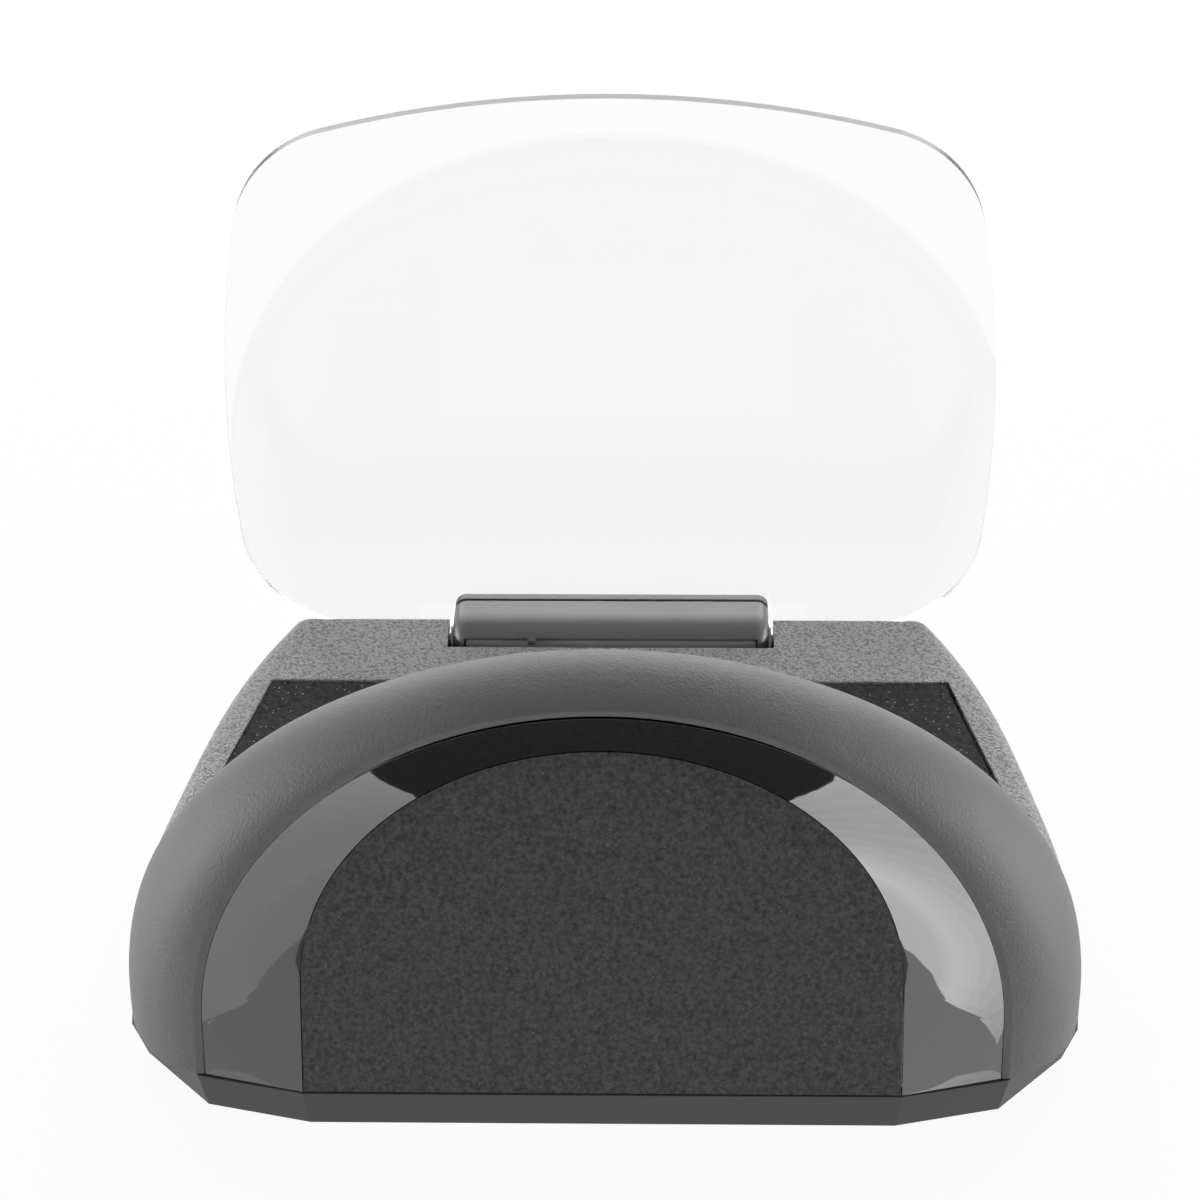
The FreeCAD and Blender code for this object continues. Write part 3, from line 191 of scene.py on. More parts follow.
class Effects:
    """Shared surface effects, each a node group that is built once."""

    def __init__(self) -> None:
        """Build every group."""
        self.spark = self._spark_texture()
        self.pebble = self._pebble_grain()
        self.grit = self._grit()
        self.dust = self._dust()
        self.rub = self._edge_rub()
        self.hairlines = self._hairlines()

    def _spark_texture(self) -> bpy.types.NodeTree:
        """Fine matte texture of a spark-eroded mould: height and tone.

        Returns:
            The group.
        """
        graph, given, out = new_group(
            "spark_texture", {"Cell": 0.25 * MM}, {"Height": Socket.VALUE, "Tone": Socket.VALUE})
        point = object_point(graph)
        scale = graph.math("DIVIDE", 1.0, given.outputs["Cell"])
        fine = graph.add(
            "ShaderNodeTexNoise", Vector=point, Scale=scale, Detail=3.0, Roughness=0.6)
        cloud = graph.add(
            "ShaderNodeTexNoise", Vector=point, Scale=90.0, Detail=2.0, Roughness=0.5)
        tone = graph.math("MULTIPLY_ADD", cloud.outputs["Fac"], 0.5, 0.25)
        mixed = graph.math("MULTIPLY_ADD", fine.outputs["Fac"], 0.5, tone)
        graph.tree.links.new(fine.outputs["Fac"], out.inputs["Height"])
        graph.tree.links.new(mixed, out.inputs["Tone"])
        return graph.tree

    def _pebble_grain(self) -> bpy.types.NodeTree:
        """Leather-like pebbles with soft valleys: height and valley mask.

        Returns:
            The group.
        """
        graph, given, out = new_group(
            "pebble_grain", {"Cell": 0.7 * MM}, {"Height": Socket.VALUE, "Valley": Socket.VALUE})
        point = object_point(graph)
        scale = graph.math("DIVIDE", 1.0, given.outputs["Cell"])
        warp = graph.add("ShaderNodeTexNoise", Vector=point, Scale=scale, Detail=2.0)
        bent = graph.add(
            "ShaderNodeVectorMath", {"operation": "MULTIPLY_ADD"},
            i0=warp.outputs["Color"], i1=(0.7 * MM, 0.7 * MM, 0.7 * MM), i2=point)
        cells = graph.add(
            "ShaderNodeTexVoronoi", {"feature": "SMOOTH_F1"}, Vector=bent.outputs[0],
            Scale=scale, Smoothness=0.6, Randomness=1.0)
        fine = graph.add(
            "ShaderNodeTexNoise", Vector=point, Scale=graph.math("MULTIPLY", scale, 2.7),
            Detail=2.0)
        dome = graph.math("SUBTRACT", 1.0, cells.outputs["Distance"])
        height = graph.math("MULTIPLY_ADD", fine.outputs["Fac"], 0.45, dome)
        graph.tree.links.new(height, out.inputs["Height"])
        graph.tree.links.new(
            graph.remap(cells.outputs["Distance"], 0.35, 0.75), out.inputs["Valley"])
        return graph.tree

    def _grit(self) -> bpy.types.NodeTree:
        """Sand-like coat: height, soft mottle and sparse bright specks.

        Returns:
            The group.
        """
        graph, given, out = new_group(
            "grit", {"Cell": 0.4 * MM, "Rare": 0.93},
            {"Height": Socket.VALUE, "Mottle": Socket.VALUE, "Speck": Socket.VALUE})
        point = object_point(graph)
        scale = graph.math("DIVIDE", 1.0, given.outputs["Cell"])
        grains = graph.add(
            "ShaderNodeTexVoronoi", {"feature": "F1"}, Vector=point, Scale=scale)
        draw = graph.add("ShaderNodeSeparateColor", Color=grains.outputs["Color"])
        rare = graph.math("GREATER_THAN", draw.outputs[0], given.outputs["Rare"])
        core = graph.remap(grains.outputs["Distance"], 0.42, 0.18)
        speck = graph.math("MULTIPLY", rare, core)
        lit = graph.math("MULTIPLY", speck, graph.remap(draw.outputs[1], 0.0, 1.0, 0.35, 1.0))
        mottle = graph.add(
            "ShaderNodeTexNoise", Vector=point, Scale=graph.math("MULTIPLY", scale, 0.55),
            Detail=4.0, Roughness=0.75)
        rough = graph.add(
            "ShaderNodeTexNoise", Vector=point, Scale=graph.math("MULTIPLY", scale, 1.6),
            Detail=3.0, Roughness=0.7)
        graph.tree.links.new(rough.outputs["Fac"], out.inputs["Height"])
        graph.tree.links.new(mottle.outputs["Fac"], out.inputs["Mottle"])
        graph.tree.links.new(lit, out.inputs["Speck"])
        return graph.tree

    def _dust(self) -> bpy.types.NodeTree:
        """Thin uneven dust that settles on faces that look up.

        Returns:
            The group.
        """
        graph, given, out = new_group("dust", {"Amount": 0.1}, {"Mask": Socket.VALUE})
        point = object_point(graph)
        normal = graph.add("ShaderNodeTexCoord").outputs["Normal"]
        upward = graph.remap(graph.add("ShaderNodeSeparateXYZ", Vector=normal).outputs[2], 0.2, 1)
        patch = graph.add(
            "ShaderNodeTexNoise", Vector=point, Scale=55.0, Detail=6.0, Roughness=0.7)
        spread = graph.remap(patch.outputs["Fac"], 0.4, 0.75)
        shade = graph.math("MULTIPLY", upward, spread)
        graph.tree.links.new(
            graph.math("MULTIPLY", shade, given.outputs["Amount"]), out.inputs["Mask"])
        return graph.tree

    def _edge_rub(self) -> bpy.types.NodeTree:
        """Edges that handling has polished: a mask, and a normal that rounds them.

        Returns:
            The group.
        """
        graph, given, out = new_group(
            "edge_rub", {"Radius": 0.35 * MM}, {"Mask": Socket.VALUE, "Round": Socket.NORMAL})
        bevel = graph.add("ShaderNodeBevel", {"samples": 6}, Radius=given.outputs["Radius"])
        plain = graph.add("ShaderNodeNewGeometry").outputs["Normal"]
        turn = graph.add(
            "ShaderNodeVectorMath", {"operation": "DOT_PRODUCT"},
            i0=bevel.outputs["Normal"], i1=plain)
        graph.tree.links.new(graph.remap(turn.outputs["Value"], 0.995, 0.8), out.inputs["Mask"])
        graph.tree.links.new(bevel.outputs["Normal"], out.inputs["Round"])
        return graph.tree

    def _hairlines(self) -> bpy.types.NodeTree:
        """Faint wiping marks on gloss: a mask of stretched noise.

        Returns:
            The group.
        """
        graph, given, out = new_group("hairlines", {"Scale": 180.0}, {"Mask": Socket.VALUE})
        point = object_point(graph)
        stretched = graph.add("ShaderNodeMapping", Vector=point, Rotation=(0.3, 0.2, 0.5),
                              Scale=(1.0, 14.0, 4.0))
        lines = graph.add(
            "ShaderNodeTexNoise", Vector=stretched.outputs[0], Scale=given.outputs["Scale"],
            Detail=5.0, Roughness=0.8)
        graph.tree.links.new(graph.remap(lines.outputs["Fac"], 0.55, 0.8), out.inputs["Mask"])
        return graph.tree


# ------------------------------------------------------------------ finishes


@dataclass(frozen=True)
class Finish:
    """A finish that every node or piece may be dressed in."""

    name: str
    colour: Colour
    roughness: float

    def start(self) -> tuple[bpy.types.Material, Graph, bpy.types.Node]:
        """Start the finish's material.

        Returns:
            The new material, its graph and its Principled shader.
        """
        material = bpy.data.materials.new(self.name)
        material.use_nodes = True
        graph = Graph(material.node_tree)
        shader = material.node_tree.nodes["Principled BSDF"]
        shader.inputs["Base Color"].default_value = (*self.colour, 1.0)
        shader.inputs["Roughness"].default_value = self.roughness
        return material, graph, shader

    def shade(self, amount: float) -> tuple[float, float, float, float]:
        """Return the finish's colour made lighter or darker."""
        return tuple(channel * amount for channel in self.colour) + (1.0,)

    def build(self, effects: Effects) -> bpy.types.Material:
        """Return the finished material."""
        raise NotImplementedError


def link(graph: Graph, source: bpy.types.NodeSocket, node: bpy.types.Node, name: str) -> None:
    """Join a socket to a named input of a node."""
    graph.tree.links.new(source, node.inputs[name])


def place(graph: Graph, group: bpy.types.NodeTree, **values: Value) -> bpy.types.Node:
    """Place a shared effect in a material with its own values."""
    return graph.add("ShaderNodeGroup", {"node_tree": group}, **values)


@dataclass(frozen=True)
class Moulded(Finish):
    """Matte injection-moulded plastic with a spark-eroded texture."""

    cell: float = 0.25 * MM
    depth: float = 0.02 * MM
    strength: float = 0.6
    rub: float = 0.35
    rub_radius: float = 0.3 * MM
    dust: float = 0.05
    dark: float = 0.72
    light: float = 1.3
    worn: float = 1.9
    uneven: float = 0.07
    polish: float = 0.15

    def build(self, effects: Effects) -> bpy.types.Material:
        """Build the material: fine texture, polished edges and a trace of dust.

        Args:
            effects: Shared surface effects.

        Returns:
            The finished material.
        """
        material, graph, shader = self.start()
        spark = place(graph, effects.spark, Cell=self.cell)
        rub = place(graph, effects.rub, Radius=self.rub_radius)
        dust = place(graph, effects.dust, Amount=self.dust)
        tone = graph.mix(spark.outputs["Tone"], self.shade(self.dark), self.shade(self.light))
        worn = graph.mix(
            graph.math("MULTIPLY", rub.outputs["Mask"], self.rub), tone, self.shade(self.worn))
        dusty = graph.mix(dust.outputs["Mask"], worn, DUST_WARM)
        link(graph, dusty, shader, "Base Color")
        rough = graph.remap(
            spark.outputs["Tone"], 0.3, 0.7, self.roughness - self.uneven,
            self.roughness + self.uneven)
        polished = graph.math("MULTIPLY_ADD", rub.outputs["Mask"], -self.polish, rough)
        link(graph, polished, shader, "Roughness")
        bump = graph.add(
            "ShaderNodeBump", Strength=self.strength, Distance=self.depth,
            Height=spark.outputs["Height"], Normal=rub.outputs["Round"])
        link(graph, bump.outputs[0], shader, "Normal")
        return material


@dataclass(frozen=True)
class Grained(Finish):
    """Moulded plastic with a leather grain and painted shade in its valleys."""

    cell: float = 0.34 * MM
    depth: float = 0.3 * MM
    strength: float = 1.0
    # contrast is the colour of the painted shade in the grain valleys, valley how strongly it is
    # painted there
    contrast: float = 0.4
    valley: float = 0.8
    valley_rough: float = 0.15
    fine_cell: float = 0.2 * MM
    rub: float = 0.3
    rub_radius: float = 0.5 * MM
    worn: float = 1.6
    dust: float = 0.06
    dark: float = 0.85
    light: float = 1.15

    def build(self, effects: Effects) -> bpy.types.Material:
        """Build the material: pebbles with painted shade in their valleys and lighter worn edges.

        Args:
            effects: Shared surface effects.

        Returns:
            The finished material.
        """
        material, graph, shader = self.start()
        grain = place(graph, effects.pebble, Cell=self.cell)
        spark = place(graph, effects.spark, Cell=self.fine_cell)
        rub = place(graph, effects.rub, Radius=self.rub_radius)
        dust = place(graph, effects.dust, Amount=self.dust)
        tone = graph.mix(spark.outputs["Tone"], self.shade(self.dark), self.shade(self.light))
        # Painted shade: the colour is darkened in the grain valleys.
        painted_valley_shade = graph.mix(
            graph.math("MULTIPLY", grain.outputs["Valley"], self.valley), tone,
            self.shade(self.contrast))
        worn = graph.mix(
            graph.math("MULTIPLY", rub.outputs["Mask"], self.rub), painted_valley_shade, self.shade(self.worn))
        dusty = graph.mix(dust.outputs["Mask"], worn, DUST_PALE)
        link(graph, dusty, shader, "Base Color")
        rough = graph.remap(
            grain.outputs["Valley"], 0.0, 1.0, self.roughness,
            self.roughness + self.valley_rough)
        link(graph, rough, shader, "Roughness")
        bump = graph.add(
            "ShaderNodeBump", Strength=self.strength, Distance=self.depth,
            Height=grain.outputs["Height"], Normal=rub.outputs["Round"])
        link(graph, bump.outputs[0], shader, "Normal")
        return material


@dataclass(frozen=True)
class Gritty(Finish):
    """Rough anti-glare coat with small bright grains."""

    cell: float = 0.4 * MM
    rare: float = 0.94
    speck: Colour = (0.5, 0.5, 0.5)
    depth: float = 0.08 * MM
    contrast: float = 0.6
    sheen: float = 0.5
    uneven: float = 0.08
    strength: float = 0.8

    def build(self, effects: Effects) -> bpy.types.Material:
        """Build the material: mottled dark grit with sparse specks.

        Args:
            effects: Shared surface effects.

        Returns:
            The finished material.
        """
        material, graph, shader = self.start()
        grit = place(graph, effects.grit, Cell=self.cell, Rare=self.rare)
        low = self.shade(1.0 - self.contrast)
        high = self.shade(1.0 + self.contrast)
        mottle = graph.remap(grit.outputs["Mottle"], 0.3, 0.7)
        tone = graph.mix(mottle, low, high)
        flecked = graph.mix(grit.outputs["Speck"], tone, (*self.speck, 1.0))
        link(graph, flecked, shader, "Base Color")
        rough = graph.remap(
            grit.outputs["Mottle"], 0.3, 0.7, self.roughness + self.uneven,
            self.roughness - self.uneven)
        link(graph, rough, shader, "Roughness")
        bump = graph.add(
            "ShaderNodeBump", Strength=self.strength, Distance=self.depth,
            Height=grit.outputs["Height"])
        link(graph, bump.outputs[0], shader, "Normal")
        shader.inputs["Specular IOR Level"].default_value = self.sheen
        return material


@dataclass(frozen=True)
class Glossy(Finish):
    """Polished dark plastic with faint wiping marks."""

    coat: float = 0.6
    coat_rough: float = 0.03
    dust: float = 0.03
    sheen: float = 0.5
    rub_radius: float = 0.25 * MM
    wiped: float = 0.1
    wiped_light: float = 2.5
    wiped_rough: float = 0.06

    def build(self, effects: Effects) -> bpy.types.Material:
        """Build the material: a clear-coated surface with a trace of hairlines and dust.

        Args:
            effects: Shared surface effects.

        Returns:
            The finished material.
        """
        material, graph, shader = self.start()
        lines = place(graph, effects.hairlines)
        dust = place(graph, effects.dust, Amount=self.dust)
        rub = place(graph, effects.rub, Radius=self.rub_radius)
        tone = graph.mix(
            graph.math("MULTIPLY", lines.outputs["Mask"], self.wiped), self.shade(1.0),
            self.shade(self.wiped_light))
        dusty = graph.mix(dust.outputs["Mask"], tone, DUST_GREY)
        link(graph, dusty, shader, "Base Color")
        rough = graph.remap(
            lines.outputs["Mask"], 0.0, 1.0, self.roughness, self.roughness + self.wiped_rough)
        link(graph, rough, shader, "Roughness")
        link(graph, rub.outputs["Round"], shader, "Normal")
        shader.inputs["Specular IOR Level"].default_value = self.sheen
        shader.inputs["Coat Weight"].default_value = self.coat
        shader.inputs["Coat Roughness"].default_value = self.coat_rough
        return material


@dataclass(frozen=True)
class ClearPlate(Finish):
    """Clear partly mirrored plate with a ground edge."""

    edge: Colour = (0.42, 0.40, 0.33)
    index: float = 1.5
    ground: float = 0.3
    smear_scale: float = 30.0
    smear_rough: float = 0.01

    def build(self, effects: Effects) -> bpy.types.Material:
        """Build the material: clear faces and a duller, faintly tinted edge.

        Args:
            effects: Shared surface effects.

        Returns:
            The finished material.
        """
        material, graph, shader = self.start()
        normal = graph.add("ShaderNodeTexCoord").outputs["Normal"]
        across = graph.add("ShaderNodeSeparateXYZ", Vector=normal).outputs[1]
        rim = graph.remap(graph.math("ABSOLUTE", across), 0.9, 0.5)
        smear = graph.add(
            "ShaderNodeTexNoise", Vector=object_point(graph), Scale=self.smear_scale,
            Detail=6.0)
        haze = graph.remap(
            smear.outputs["Fac"], 0.5, 0.8, self.roughness, self.roughness + self.smear_rough)
        link(graph, graph.mix(rim, self.shade(1.0), (*self.edge, 1.0)), shader, "Base Color")
        link(graph, graph.math("MULTIPLY_ADD", rim, self.ground, haze), shader, "Roughness")
        shader.inputs["Transmission Weight"].default_value = 1.0
        shader.inputs["IOR"].default_value = self.index
        return material


@dataclass(frozen=True)
class Metal(Finish):
    """Plated or bare metal with fine drawn lines."""

    metallic: float = 1.0
    cell: float = 0.12 * MM
    line_scale: float = 500.0
    line_rough: float = 0.2
    dark: float = 0.8
    light: float = 1.15

    def build(self, effects: Effects) -> bpy.types.Material:
        """Build the material: metal with uneven polish.

        Args:
            effects: Shared surface effects.

        Returns:
            The finished material.
        """
        material, graph, shader = self.start()
        spark = place(graph, effects.spark, Cell=self.cell)
        lines = place(graph, effects.hairlines, Scale=self.line_scale)
        tone = graph.mix(spark.outputs["Tone"], self.shade(self.dark), self.shade(self.light))
        link(graph, tone, shader, "Base Color")
        rough = graph.remap(
            lines.outputs["Mask"], 0.0, 1.0, self.roughness, self.roughness + self.line_rough)
        link(graph, rough, shader, "Roughness")
        shader.inputs["Metallic"].default_value = self.metallic
        return material


# ------------------------------------------------------------------- palette


@dataclass
class Palette:
    """Every finish of the object, built once."""

    effects: Effects
    made: dict[str, bpy.types.Material] = field(default_factory=dict)

    FINISHES = {
        "hood_matte": Moulded(
            "hood_matte", (0.074, 0.074, 0.074), 0.5, cell=0.34 * MM, depth=0.16 * MM),
        "pan_matte": Moulded("pan_matte", (0.037, 0.037, 0.037), 0.55),
        "hinge_matte": Moulded("hinge_matte", (0.105, 0.105, 0.105), 0.3, depth=0.008 * MM),
        # Painted light: the barrel strip is the hinge's plastic made lighter to offset the shade
        # of its notch.
        "strip_painted_light": Moulded("strip_painted_light", (0.24, 0.24, 0.24), 0.35, depth=0.008 * MM),
        "deck_grain": Grained("deck_grain", (0.25, 0.25, 0.25), 0.42),
        "face_grit": Gritty(
            "face_grit", (0.036, 0.036, 0.036), 0.75, cell=0.32 * MM, rare=0.9,
            speck=(0.1, 0.1, 0.1)),
        "mat_grit": Gritty(
            "mat_grit", (0.018, 0.018, 0.018), 0.9, cell=0.3 * MM, rare=0.93,
            speck=(0.42, 0.42, 0.42), sheen=0.3),
        "flare_gloss": Glossy(
            "flare_gloss", (0.003, 0.003, 0.003), 0.08, coat=1.0, dust=0.0,
            sheen=0.0),
        "button_gloss": Glossy("button_gloss", (0.03, 0.03, 0.03), 0.25, coat=0.2),
        "combiner_clear": ClearPlate("combiner_clear", (0.975, 0.975, 0.99), 0.0),
        "window_smoke": Glossy("window_smoke", (0.006, 0.006, 0.007), 0.05, coat=1.0),
        "screw_steel": Metal("screw_steel", (0.55, 0.55, 0.56), 0.3),
        "sink_aluminium": Metal("sink_aluminium", (0.75, 0.75, 0.77), 0.4),
        "pad_rubber": Moulded(
            "pad_rubber", (0.025, 0.025, 0.026), 0.8, cell=0.5 * MM, depth=0.05 * MM),
        "board_green": Moulded("board_green", (0.015, 0.12, 0.05), 0.35, depth=0.005 * MM),
        "part_black": Moulded("part_black", (0.03, 0.03, 0.03), 0.5, depth=0.01 * MM),
        "lamp_white": Moulded("lamp_white", (0.82, 0.82, 0.8), 0.45, depth=0.01 * MM),
    }

    def material(self, name: str) -> bpy.types.Material:
        """Return a finish's material, built on first use."""
        if name not in self.made:
            self.made[name] = self.FINISHES[name].build(self.effects)
        return self.made[name]

    def dress(self, item: bpy.types.Object, finish: str) -> None:
        """Give one object a finish.

        Args:
            item: Node or piece to dress.
            finish: Name of one of the finishes.
        """
        item.data.materials.clear()
        item.data.materials.append(self.material(finish))
        LOG.info("%s wears %s", item.name, finish)


# ------------------------------------------------------------ sub-assemblies


def add_block(grid: bmesh.types.BMesh, low: Vector, high: Vector, soft: float) -> None:
    """Add a block with rounded edges to a mesh.

    Args:
        grid: The mesh that the block is added to.
        low: Lowest corner, in metres.
        high: Highest corner, in metres.
        soft: Rounding of every edge, in metres.
    """
    made = bmesh.ops.create_cube(grid, size=1.0)["verts"]
    middle = (low + high) / 2
    for vert in made:
        for axis in range(3):
            vert.co[axis] = middle[axis] + vert.co[axis] * (high[axis] - low[axis])
    edges = list({edge for vert in made for edge in vert.link_edges})
    bmesh.ops.bevel(
        grid, geom=edges, offset=soft, segments=2, profile=0.5, affect="EDGES",
        clamp_overlap=True)


@dataclass
class SubAssembly:
    """Pieces that are made, dressed and mounted together."""

    nodes: dict[str, bpy.types.Object]
    palette: Palette

    WEAR: ClassVar[dict[str, tuple[str, ...]]] = {}

    def dress(self) -> None:
        """Give every construction node of the sub-assembly its finish."""
        for finish, members in self.WEAR.items():
            for node in members:
                self.palette.dress(self.nodes[node], finish)

    def piece(
        self, name: str, grid: bmesh.types.BMesh, body: Body, slot: str, finish: str,
    ) -> bpy.types.Object:
        """Turn a mesh into a piece that rides on a body.

        Args:
            name: Name of the piece.
            grid: Its mesh, which is used up.
            body: Body that it rides on.
            slot: Material slot of the record that it belongs to; not used.
            finish: Name of its finish.

        Returns:
            The new object.
        """
        mesh = bpy.data.meshes.new(name)
        grid.to_mesh(mesh)
        grid.free()
        mesh.shade_smooth()
        item = bpy.data.objects.new(name, mesh)
        bpy.context.scene.collection.objects.link(item)
        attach(item, body.value)
        self.palette.dress(item, finish)
        return item

    def build(self) -> None:
        """Make the sub-assembly's own pieces and dress everything."""
        self.dress()
        LOG.info("%s is ready", type(self).__name__)


@dataclass
class LowerHousing(SubAssembly):
    """Base pan on its grip pad, held by the case screws."""

    WEAR = {
        "pan_matte": ("base_pan",),
        "pad_rubber": ("grip_pad",),
        "screw_steel": ("case_screws",),
    }


@dataclass
class UpperHousing(SubAssembly):
    """Grained shell with the anti-glare mats let into its well."""

    WEAR = {
        "deck_grain": ("body_shell",),
        "mat_grit": ("anti_glare_mat",),
    }


@dataclass
class Hood(SubAssembly):
    """Arched ring with the polished flare and the gritty face inside it."""

    WEAR = {
        "hood_matte": ("hood_ring", "hood_back"),
        "flare_gloss": ("flare_bezel",),
        "face_grit": ("face_panel",),
    }


@dataclass
class DisplayModule(SubAssembly):
    """Window, display panel, diffuser and backlight with its heat sink."""

    WEAR = {
        "window_smoke": ("display_window",),
        "part_black": ("display_panel", "display_ribbon", "ribbon_plug"),
        "lamp_white": ("light_box", "diffuser_sheet", "backlight_leds"),
        "board_green": ("backlight_board",),
        "sink_aluminium": ("heat_sink",),
    }


@dataclass
class HingeAndCombiner(SubAssembly):
    """Friction hinge that carries the clear combiner plate."""

    nib_from_middle: float = 9.9 * MM
    nib_wide: float = 1.1 * MM
    nib_tall: float = 0.5 * MM
    nib_proud: float = 0.3 * MM
    nib_soft: float = 0.12 * MM

    WEAR = {
        "hinge_matte": ("hinge_barrel",),
        "hood_matte": ("clamp_back",),
        # the barrel strip wears a lighter copy of the hinge plastic, painted light against the
        # shade of its notch
        "strip_painted_light": ("barrel_strip",),
        "screw_steel": ("clamp_screws", "hinge_pin", "friction_washers"),
        "pad_rubber": ("gasket_pads",),
        "combiner_clear": ("combiner_plate",),
    }

    def make_nib(self) -> None:
        """Make the small latch nib that stands on the barrel above the strip."""
        low, high = (Vector(corner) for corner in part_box("barrel_strip"))
        middle = (low.x + high.x) / 2 - self.nib_from_middle
        grid = bmesh.new()
        add_block(
            grid, Vector((middle - self.nib_wide / 2, low.y - self.nib_proud, high.z)),
            Vector((middle + self.nib_wide / 2, high.y, high.z + self.nib_tall)), self.nib_soft)
        self.piece("latch_nib", grid, Body.COMBINER, "matte_shell", "part_black")

    def build(self) -> None:
        """Make the nib and dress everything."""
        self.make_nib()
        super().build()


@dataclass
class Electronics(SubAssembly):
    """Main board with its parts, the power socket and the button's switch."""

    chip_long: float = 1.6 * MM
    chip_wide: float = 0.8 * MM
    chip_tall: float = 0.45 * MM
    chip_cap: float = 0.3 * MM
    chip_soft: float = 0.06 * MM
    chip_count: int = 26
    edge_margin: float = 3.0 * MM
    clear: float = 0.8 * MM
    seed: int = 11
    screw_strip: float = 26.0 * MM

    WEAR = {
        "board_green": ("main_board",),
        "part_black": ("button_switch", "processor", "power_inductor", "sounder"),
        "screw_steel": ("board_screws", "power_socket", "radio_shield"),
        "sink_aluminium": ("capacitors",),
    }
    KEEP_CLEAR = (
        "processor", "radio_shield", "capacitors", "power_inductor", "sounder", "ribbon_plug",
        "power_socket", "button_switch", "display_ribbon", "heat_sink")

    def free_places(self) -> list[tuple[float, float]]:
        """Find seeded places on the board that no other part covers.

        Returns:
            The middle of each place, along X and Y, in metres.
        """
        low, high = (Vector(corner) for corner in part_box("main_board"))
        taken = [tuple(Vector(corner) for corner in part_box(node)) for node in self.KEEP_CLEAR]
        draw = random.Random(self.seed)
        reach = self.chip_long / 2 + self.clear
        places = []
        while len(places) < self.chip_count:
            x = draw.uniform(-self.screw_strip, self.screw_strip)
            y = draw.uniform(low.y + self.edge_margin, high.y - self.edge_margin)
            covered = any(
                box[0].x - reach < x < box[1].x + reach
                and box[0].y - reach < y < box[1].y + reach for box in taken)
            crowded = any(
                abs(x - other[0]) < 2 * reach and abs(y - other[1]) < reach for other in places)
            if not covered and not crowded:
                places.append((x, y))
        return places

    def make_chips(self) -> None:
        """Make the small chip parts of the board and their metal ends."""
        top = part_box("main_board")[1][2]
        bodies = bmesh.new()
        ends = bmesh.new()
        long = self.chip_long / 2
        wide = self.chip_wide / 2
        for x, y in self.free_places():
            inner = long - self.chip_cap
            add_block(
                bodies, Vector((x - inner, y - wide, top)),
                Vector((x + inner, y + wide, top + self.chip_tall)), self.chip_soft)
            for side in (-1, 1):
                edge = sorted((x + side * inner, x + side * long))
                add_block(
                    ends, Vector((edge[0], y - wide, top)),
                    Vector((edge[1], y + wide, top + self.chip_tall)), self.chip_soft)
        self.piece("chip_bodies", bodies, Body.HOUSING, "component", "part_black")
        self.piece("chip_ends", ends, Body.HOUSING, "steel", "screw_steel")

    def build(self) -> None:
        """Make the chip parts and dress everything."""
        self.make_chips()
        super().build()


@dataclass
class PowerButton(SubAssembly):
    """Push button that slides in the rear wall."""

    WEAR = {"button_gloss": ("power_button",)}


# --------------------------------------------------------------------- stage


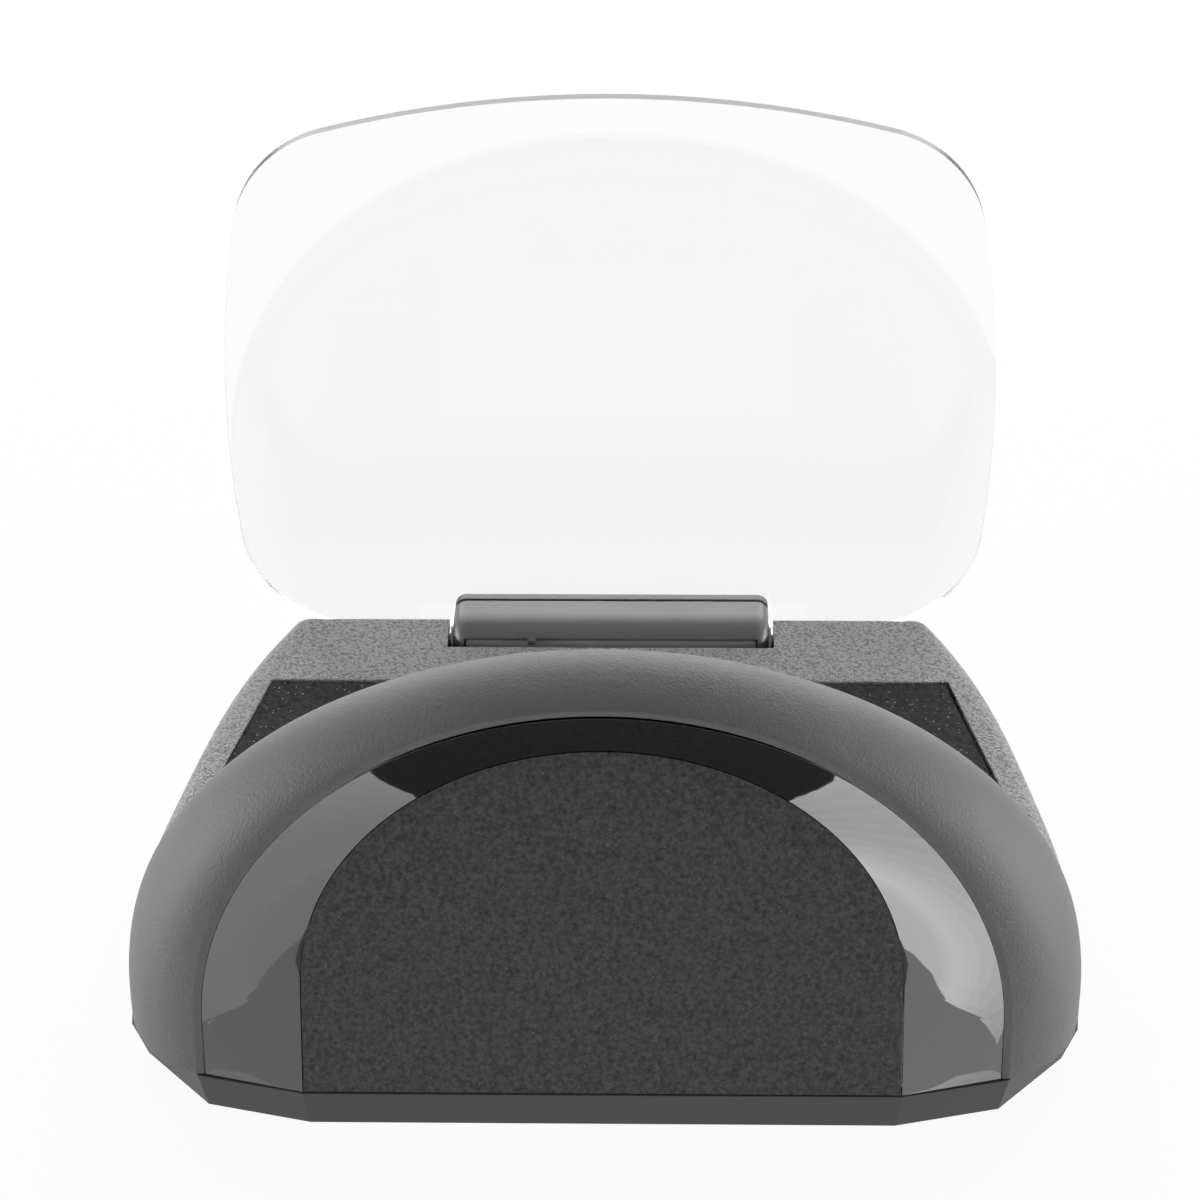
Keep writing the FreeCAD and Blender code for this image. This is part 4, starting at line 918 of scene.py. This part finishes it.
@dataclass
class Studio:
    """Camera, floor, soft boxes, and cards on the floor before the flare."""

    place: tuple[float, float, float] = (7.6 * MM, -337.1 * MM, 279.9 * MM)
    azimuth: float = 1.4
    elevation: float = 35.0
    roll: float = -0.6
    lens: float = 106.83
    sensor: float = 36.0
    floor_glow: float = 0.945
    around: float = 0.17
    floor_base: float = 0.03
    floor_reach: float = 6.0
    near_clip: float = 0.01
    far_clip: float = 20.0
    card_lift: float = 0.5 * MM
    strip_deep: float = 4.0
    graded_under: float = 30.0

    # name, place, width and height in metres, glow
    BOXES = (
        ("back_box", (0.0, 0.62, 0.5), (1.2, 1.0), 4.7),
        ("left_box", (-0.75, -0.05, 0.08), (0.6, 0.24), 14.0),
        ("right_box", (0.75, -0.05, 0.08), (0.6, 0.24), 15.0),
        ("left_low_box", (-0.65, -0.42, 0.05), (0.4, 0.3), 2.8),
        ("right_low_box", (0.65, -0.42, 0.05), (0.4, 0.3), 2.8),
    )
    # left and right border in mm, then depth in mm and glow of each border
    CARD_COLUMNS = {
        "card_right": ((0.0, 50.0), (
            (-42.0, 3.7), (-50.0, 4.4), (-58.0, 5.4), (-67.0, 6.8), (-76.0, 8.4), (-86.0, 9.8),
            (-98.0, 10.6), (-122.0, 9.0), (-400.0, 0.0))),
        "card_right_side": ((50.0, 300.0), ((-20.0, 2.4), (-400.0, 0.0))),
        "card_left": ((-50.0, 0.0), (
            (-42.0, 1.9), (-56.0, 2.2), (-68.0, 2.5), (-82.0, 2.8), (-100.0, 2.5),
            (-400.0, 0.0))),
        "card_left_side": ((-300.0, -50.0), ((-20.0, 1.5), (-400.0, 0.0))),
    }

    def camera(self) -> bpy.types.Object:
        """Make the camera.

        Returns:
            The camera object, which the scene uses.
        """
        data = bpy.data.cameras.new("camera")
        data.lens = self.lens
        data.sensor_width = self.sensor
        data.clip_start = self.near_clip
        data.clip_end = self.far_clip
        camera = bpy.data.objects.new("camera", data)
        camera.location = self.place
        camera.rotation_mode = "QUATERNION"
        level = Euler((math.radians(90.0 - self.elevation), 0.0, math.radians(self.azimuth)))
        tilt = Quaternion((0.0, 0.0, 1.0), math.radians(self.roll))
        camera.rotation_quaternion = level.to_quaternion() @ tilt
        bpy.context.scene.collection.objects.link(camera)
        bpy.context.scene.camera = camera
        return camera

    def floor(self) -> bpy.types.Object:
        """Make the pale floor.

        Returns:
            The floor, which isn't part of the object.
        """
        mesh = bpy.data.meshes.new("floor")
        grid = bmesh.new()
        bmesh.ops.create_grid(grid, x_segments=1, y_segments=1, size=self.floor_reach)
        grid.to_mesh(mesh)
        grid.free()
        floor = bpy.data.objects.new("floor", mesh)
        material = bpy.data.materials.new("floor_white")
        material.use_nodes = True
        shader = material.node_tree.nodes["Principled BSDF"]
        shader.inputs["Base Color"].default_value = (*[self.floor_base] * 3, 1.0)
        shader.inputs["Roughness"].default_value = 0.9
        shader.inputs["Specular IOR Level"].default_value = 0.0
        shader.inputs["Emission Color"].default_value = (1.0, 1.0, 1.0, 1.0)
        shader.inputs["Emission Strength"].default_value = self.floor_glow
        mesh.materials.append(material)
        bpy.context.scene.collection.objects.link(floor)
        return floor

    def area(
        self, name: str, at: Place, size: tuple[float, float], glow: float,
        towards: Place = (0.0, 0.0, 0.03), only: tuple[bpy.types.Object, ...] = (),
    ) -> bpy.types.Object:
        """Make a soft rectangular light.

        Args:
            name: Name of the light.
            at: Its place, in metres.
            size: Its width and height, in metres.
            glow: Its brightness, where a white floor in full light is 1.
            towards: The point that it faces.
            only: Objects that it lights, or none for all.

        Returns:
            The light object.
        """
        data = bpy.data.lights.new(name, "AREA")
        data.shape = "RECTANGLE"
        data.size, data.size_y = size
        data.energy = glow * math.pi * size[0] * size[1]
        light = bpy.data.objects.new(name, data)
        light.location = at
        light.visible_camera = False
        light.rotation_mode = "QUATERNION"
        light.rotation_quaternion = (Vector(towards) - light.location).to_track_quat("-Z", "Y")
        bpy.context.scene.collection.objects.link(light)
        if only:
            chosen = bpy.data.collections.new(name + "_lights")
            for item in only:
                chosen.objects.link(item)
            light.light_linking.receiver_collection = chosen
        return light

    def strips(self, steps: tuple[tuple[float, float], ...]) -> list[Place]:
        """Divide a column of cards into narrow strips whose glow changes gently.

        Args:
            steps: Depth and glow of each border, near to far; the last glow is unused.

        Returns:
            Near border, far border and glow of each strip.
        """
        parts = []
        for (near, glow), (far, next_glow) in zip(steps, steps[1:]):
            graded = next_glow > 0.0 and near - far < self.graded_under
            count = max(1, round((near - far) / self.strip_deep)) if graded else 1
            for index in range(count):
                share = (index + 0.5) / count if graded else 0.0
                start = near + (far - near) * index / count
                end = near + (far - near) * (index + 1) / count
                parts.append((start, end, glow + (next_glow - glow) * share))
        return parts

    def lights(self, flare: bpy.types.Object) -> None:
        """Make the soft boxes, the cards before the flare and the pale surroundings.

        Args:
            flare: The polished piece that alone is lit by the cards.
        """
        for name, at, size, glow in self.BOXES:
            self.area(name, at, size, glow)
        for name, ((left, right), steps) in self.CARD_COLUMNS.items():
            for number, (near, far, glow) in enumerate(self.strips(steps)):
                middle = ((left + right) / 2 * MM, (near + far) / 2 * MM, self.card_lift)
                size = ((right - left) * MM, (near - far) * MM)
                above = (middle[0], middle[1], 1.0)
                self.area(f"{name}_{number}", middle, size, glow, above, (flare,))
        world = bpy.data.worlds.new("studio")
        world.use_nodes = True
        background = world.node_tree.nodes["Background"]
        background.inputs["Color"].default_value = (1.0, 1.0, 1.0, 1.0)
        background.inputs["Strength"].default_value = self.around
        bpy.context.scene.world = world
        bpy.context.scene.view_settings.view_transform = "Standard"


def main() -> None:
    """Load the frame, dress it and set the stage."""
    logging.basicConfig(level=logging.INFO, format="%(name)s: %(message)s")
    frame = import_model()
    studio = Studio()
    studio.camera()
    studio.floor()
    studio.lights(frame["nodes"]["flare_bezel"])
    palette = Palette(Effects())
    for kind in (
        LowerHousing, UpperHousing, Hood, DisplayModule, HingeAndCombiner, Electronics,
        PowerButton,
    ):
        kind(frame["nodes"], palette).build()


if __name__ == "__main__":
    main()
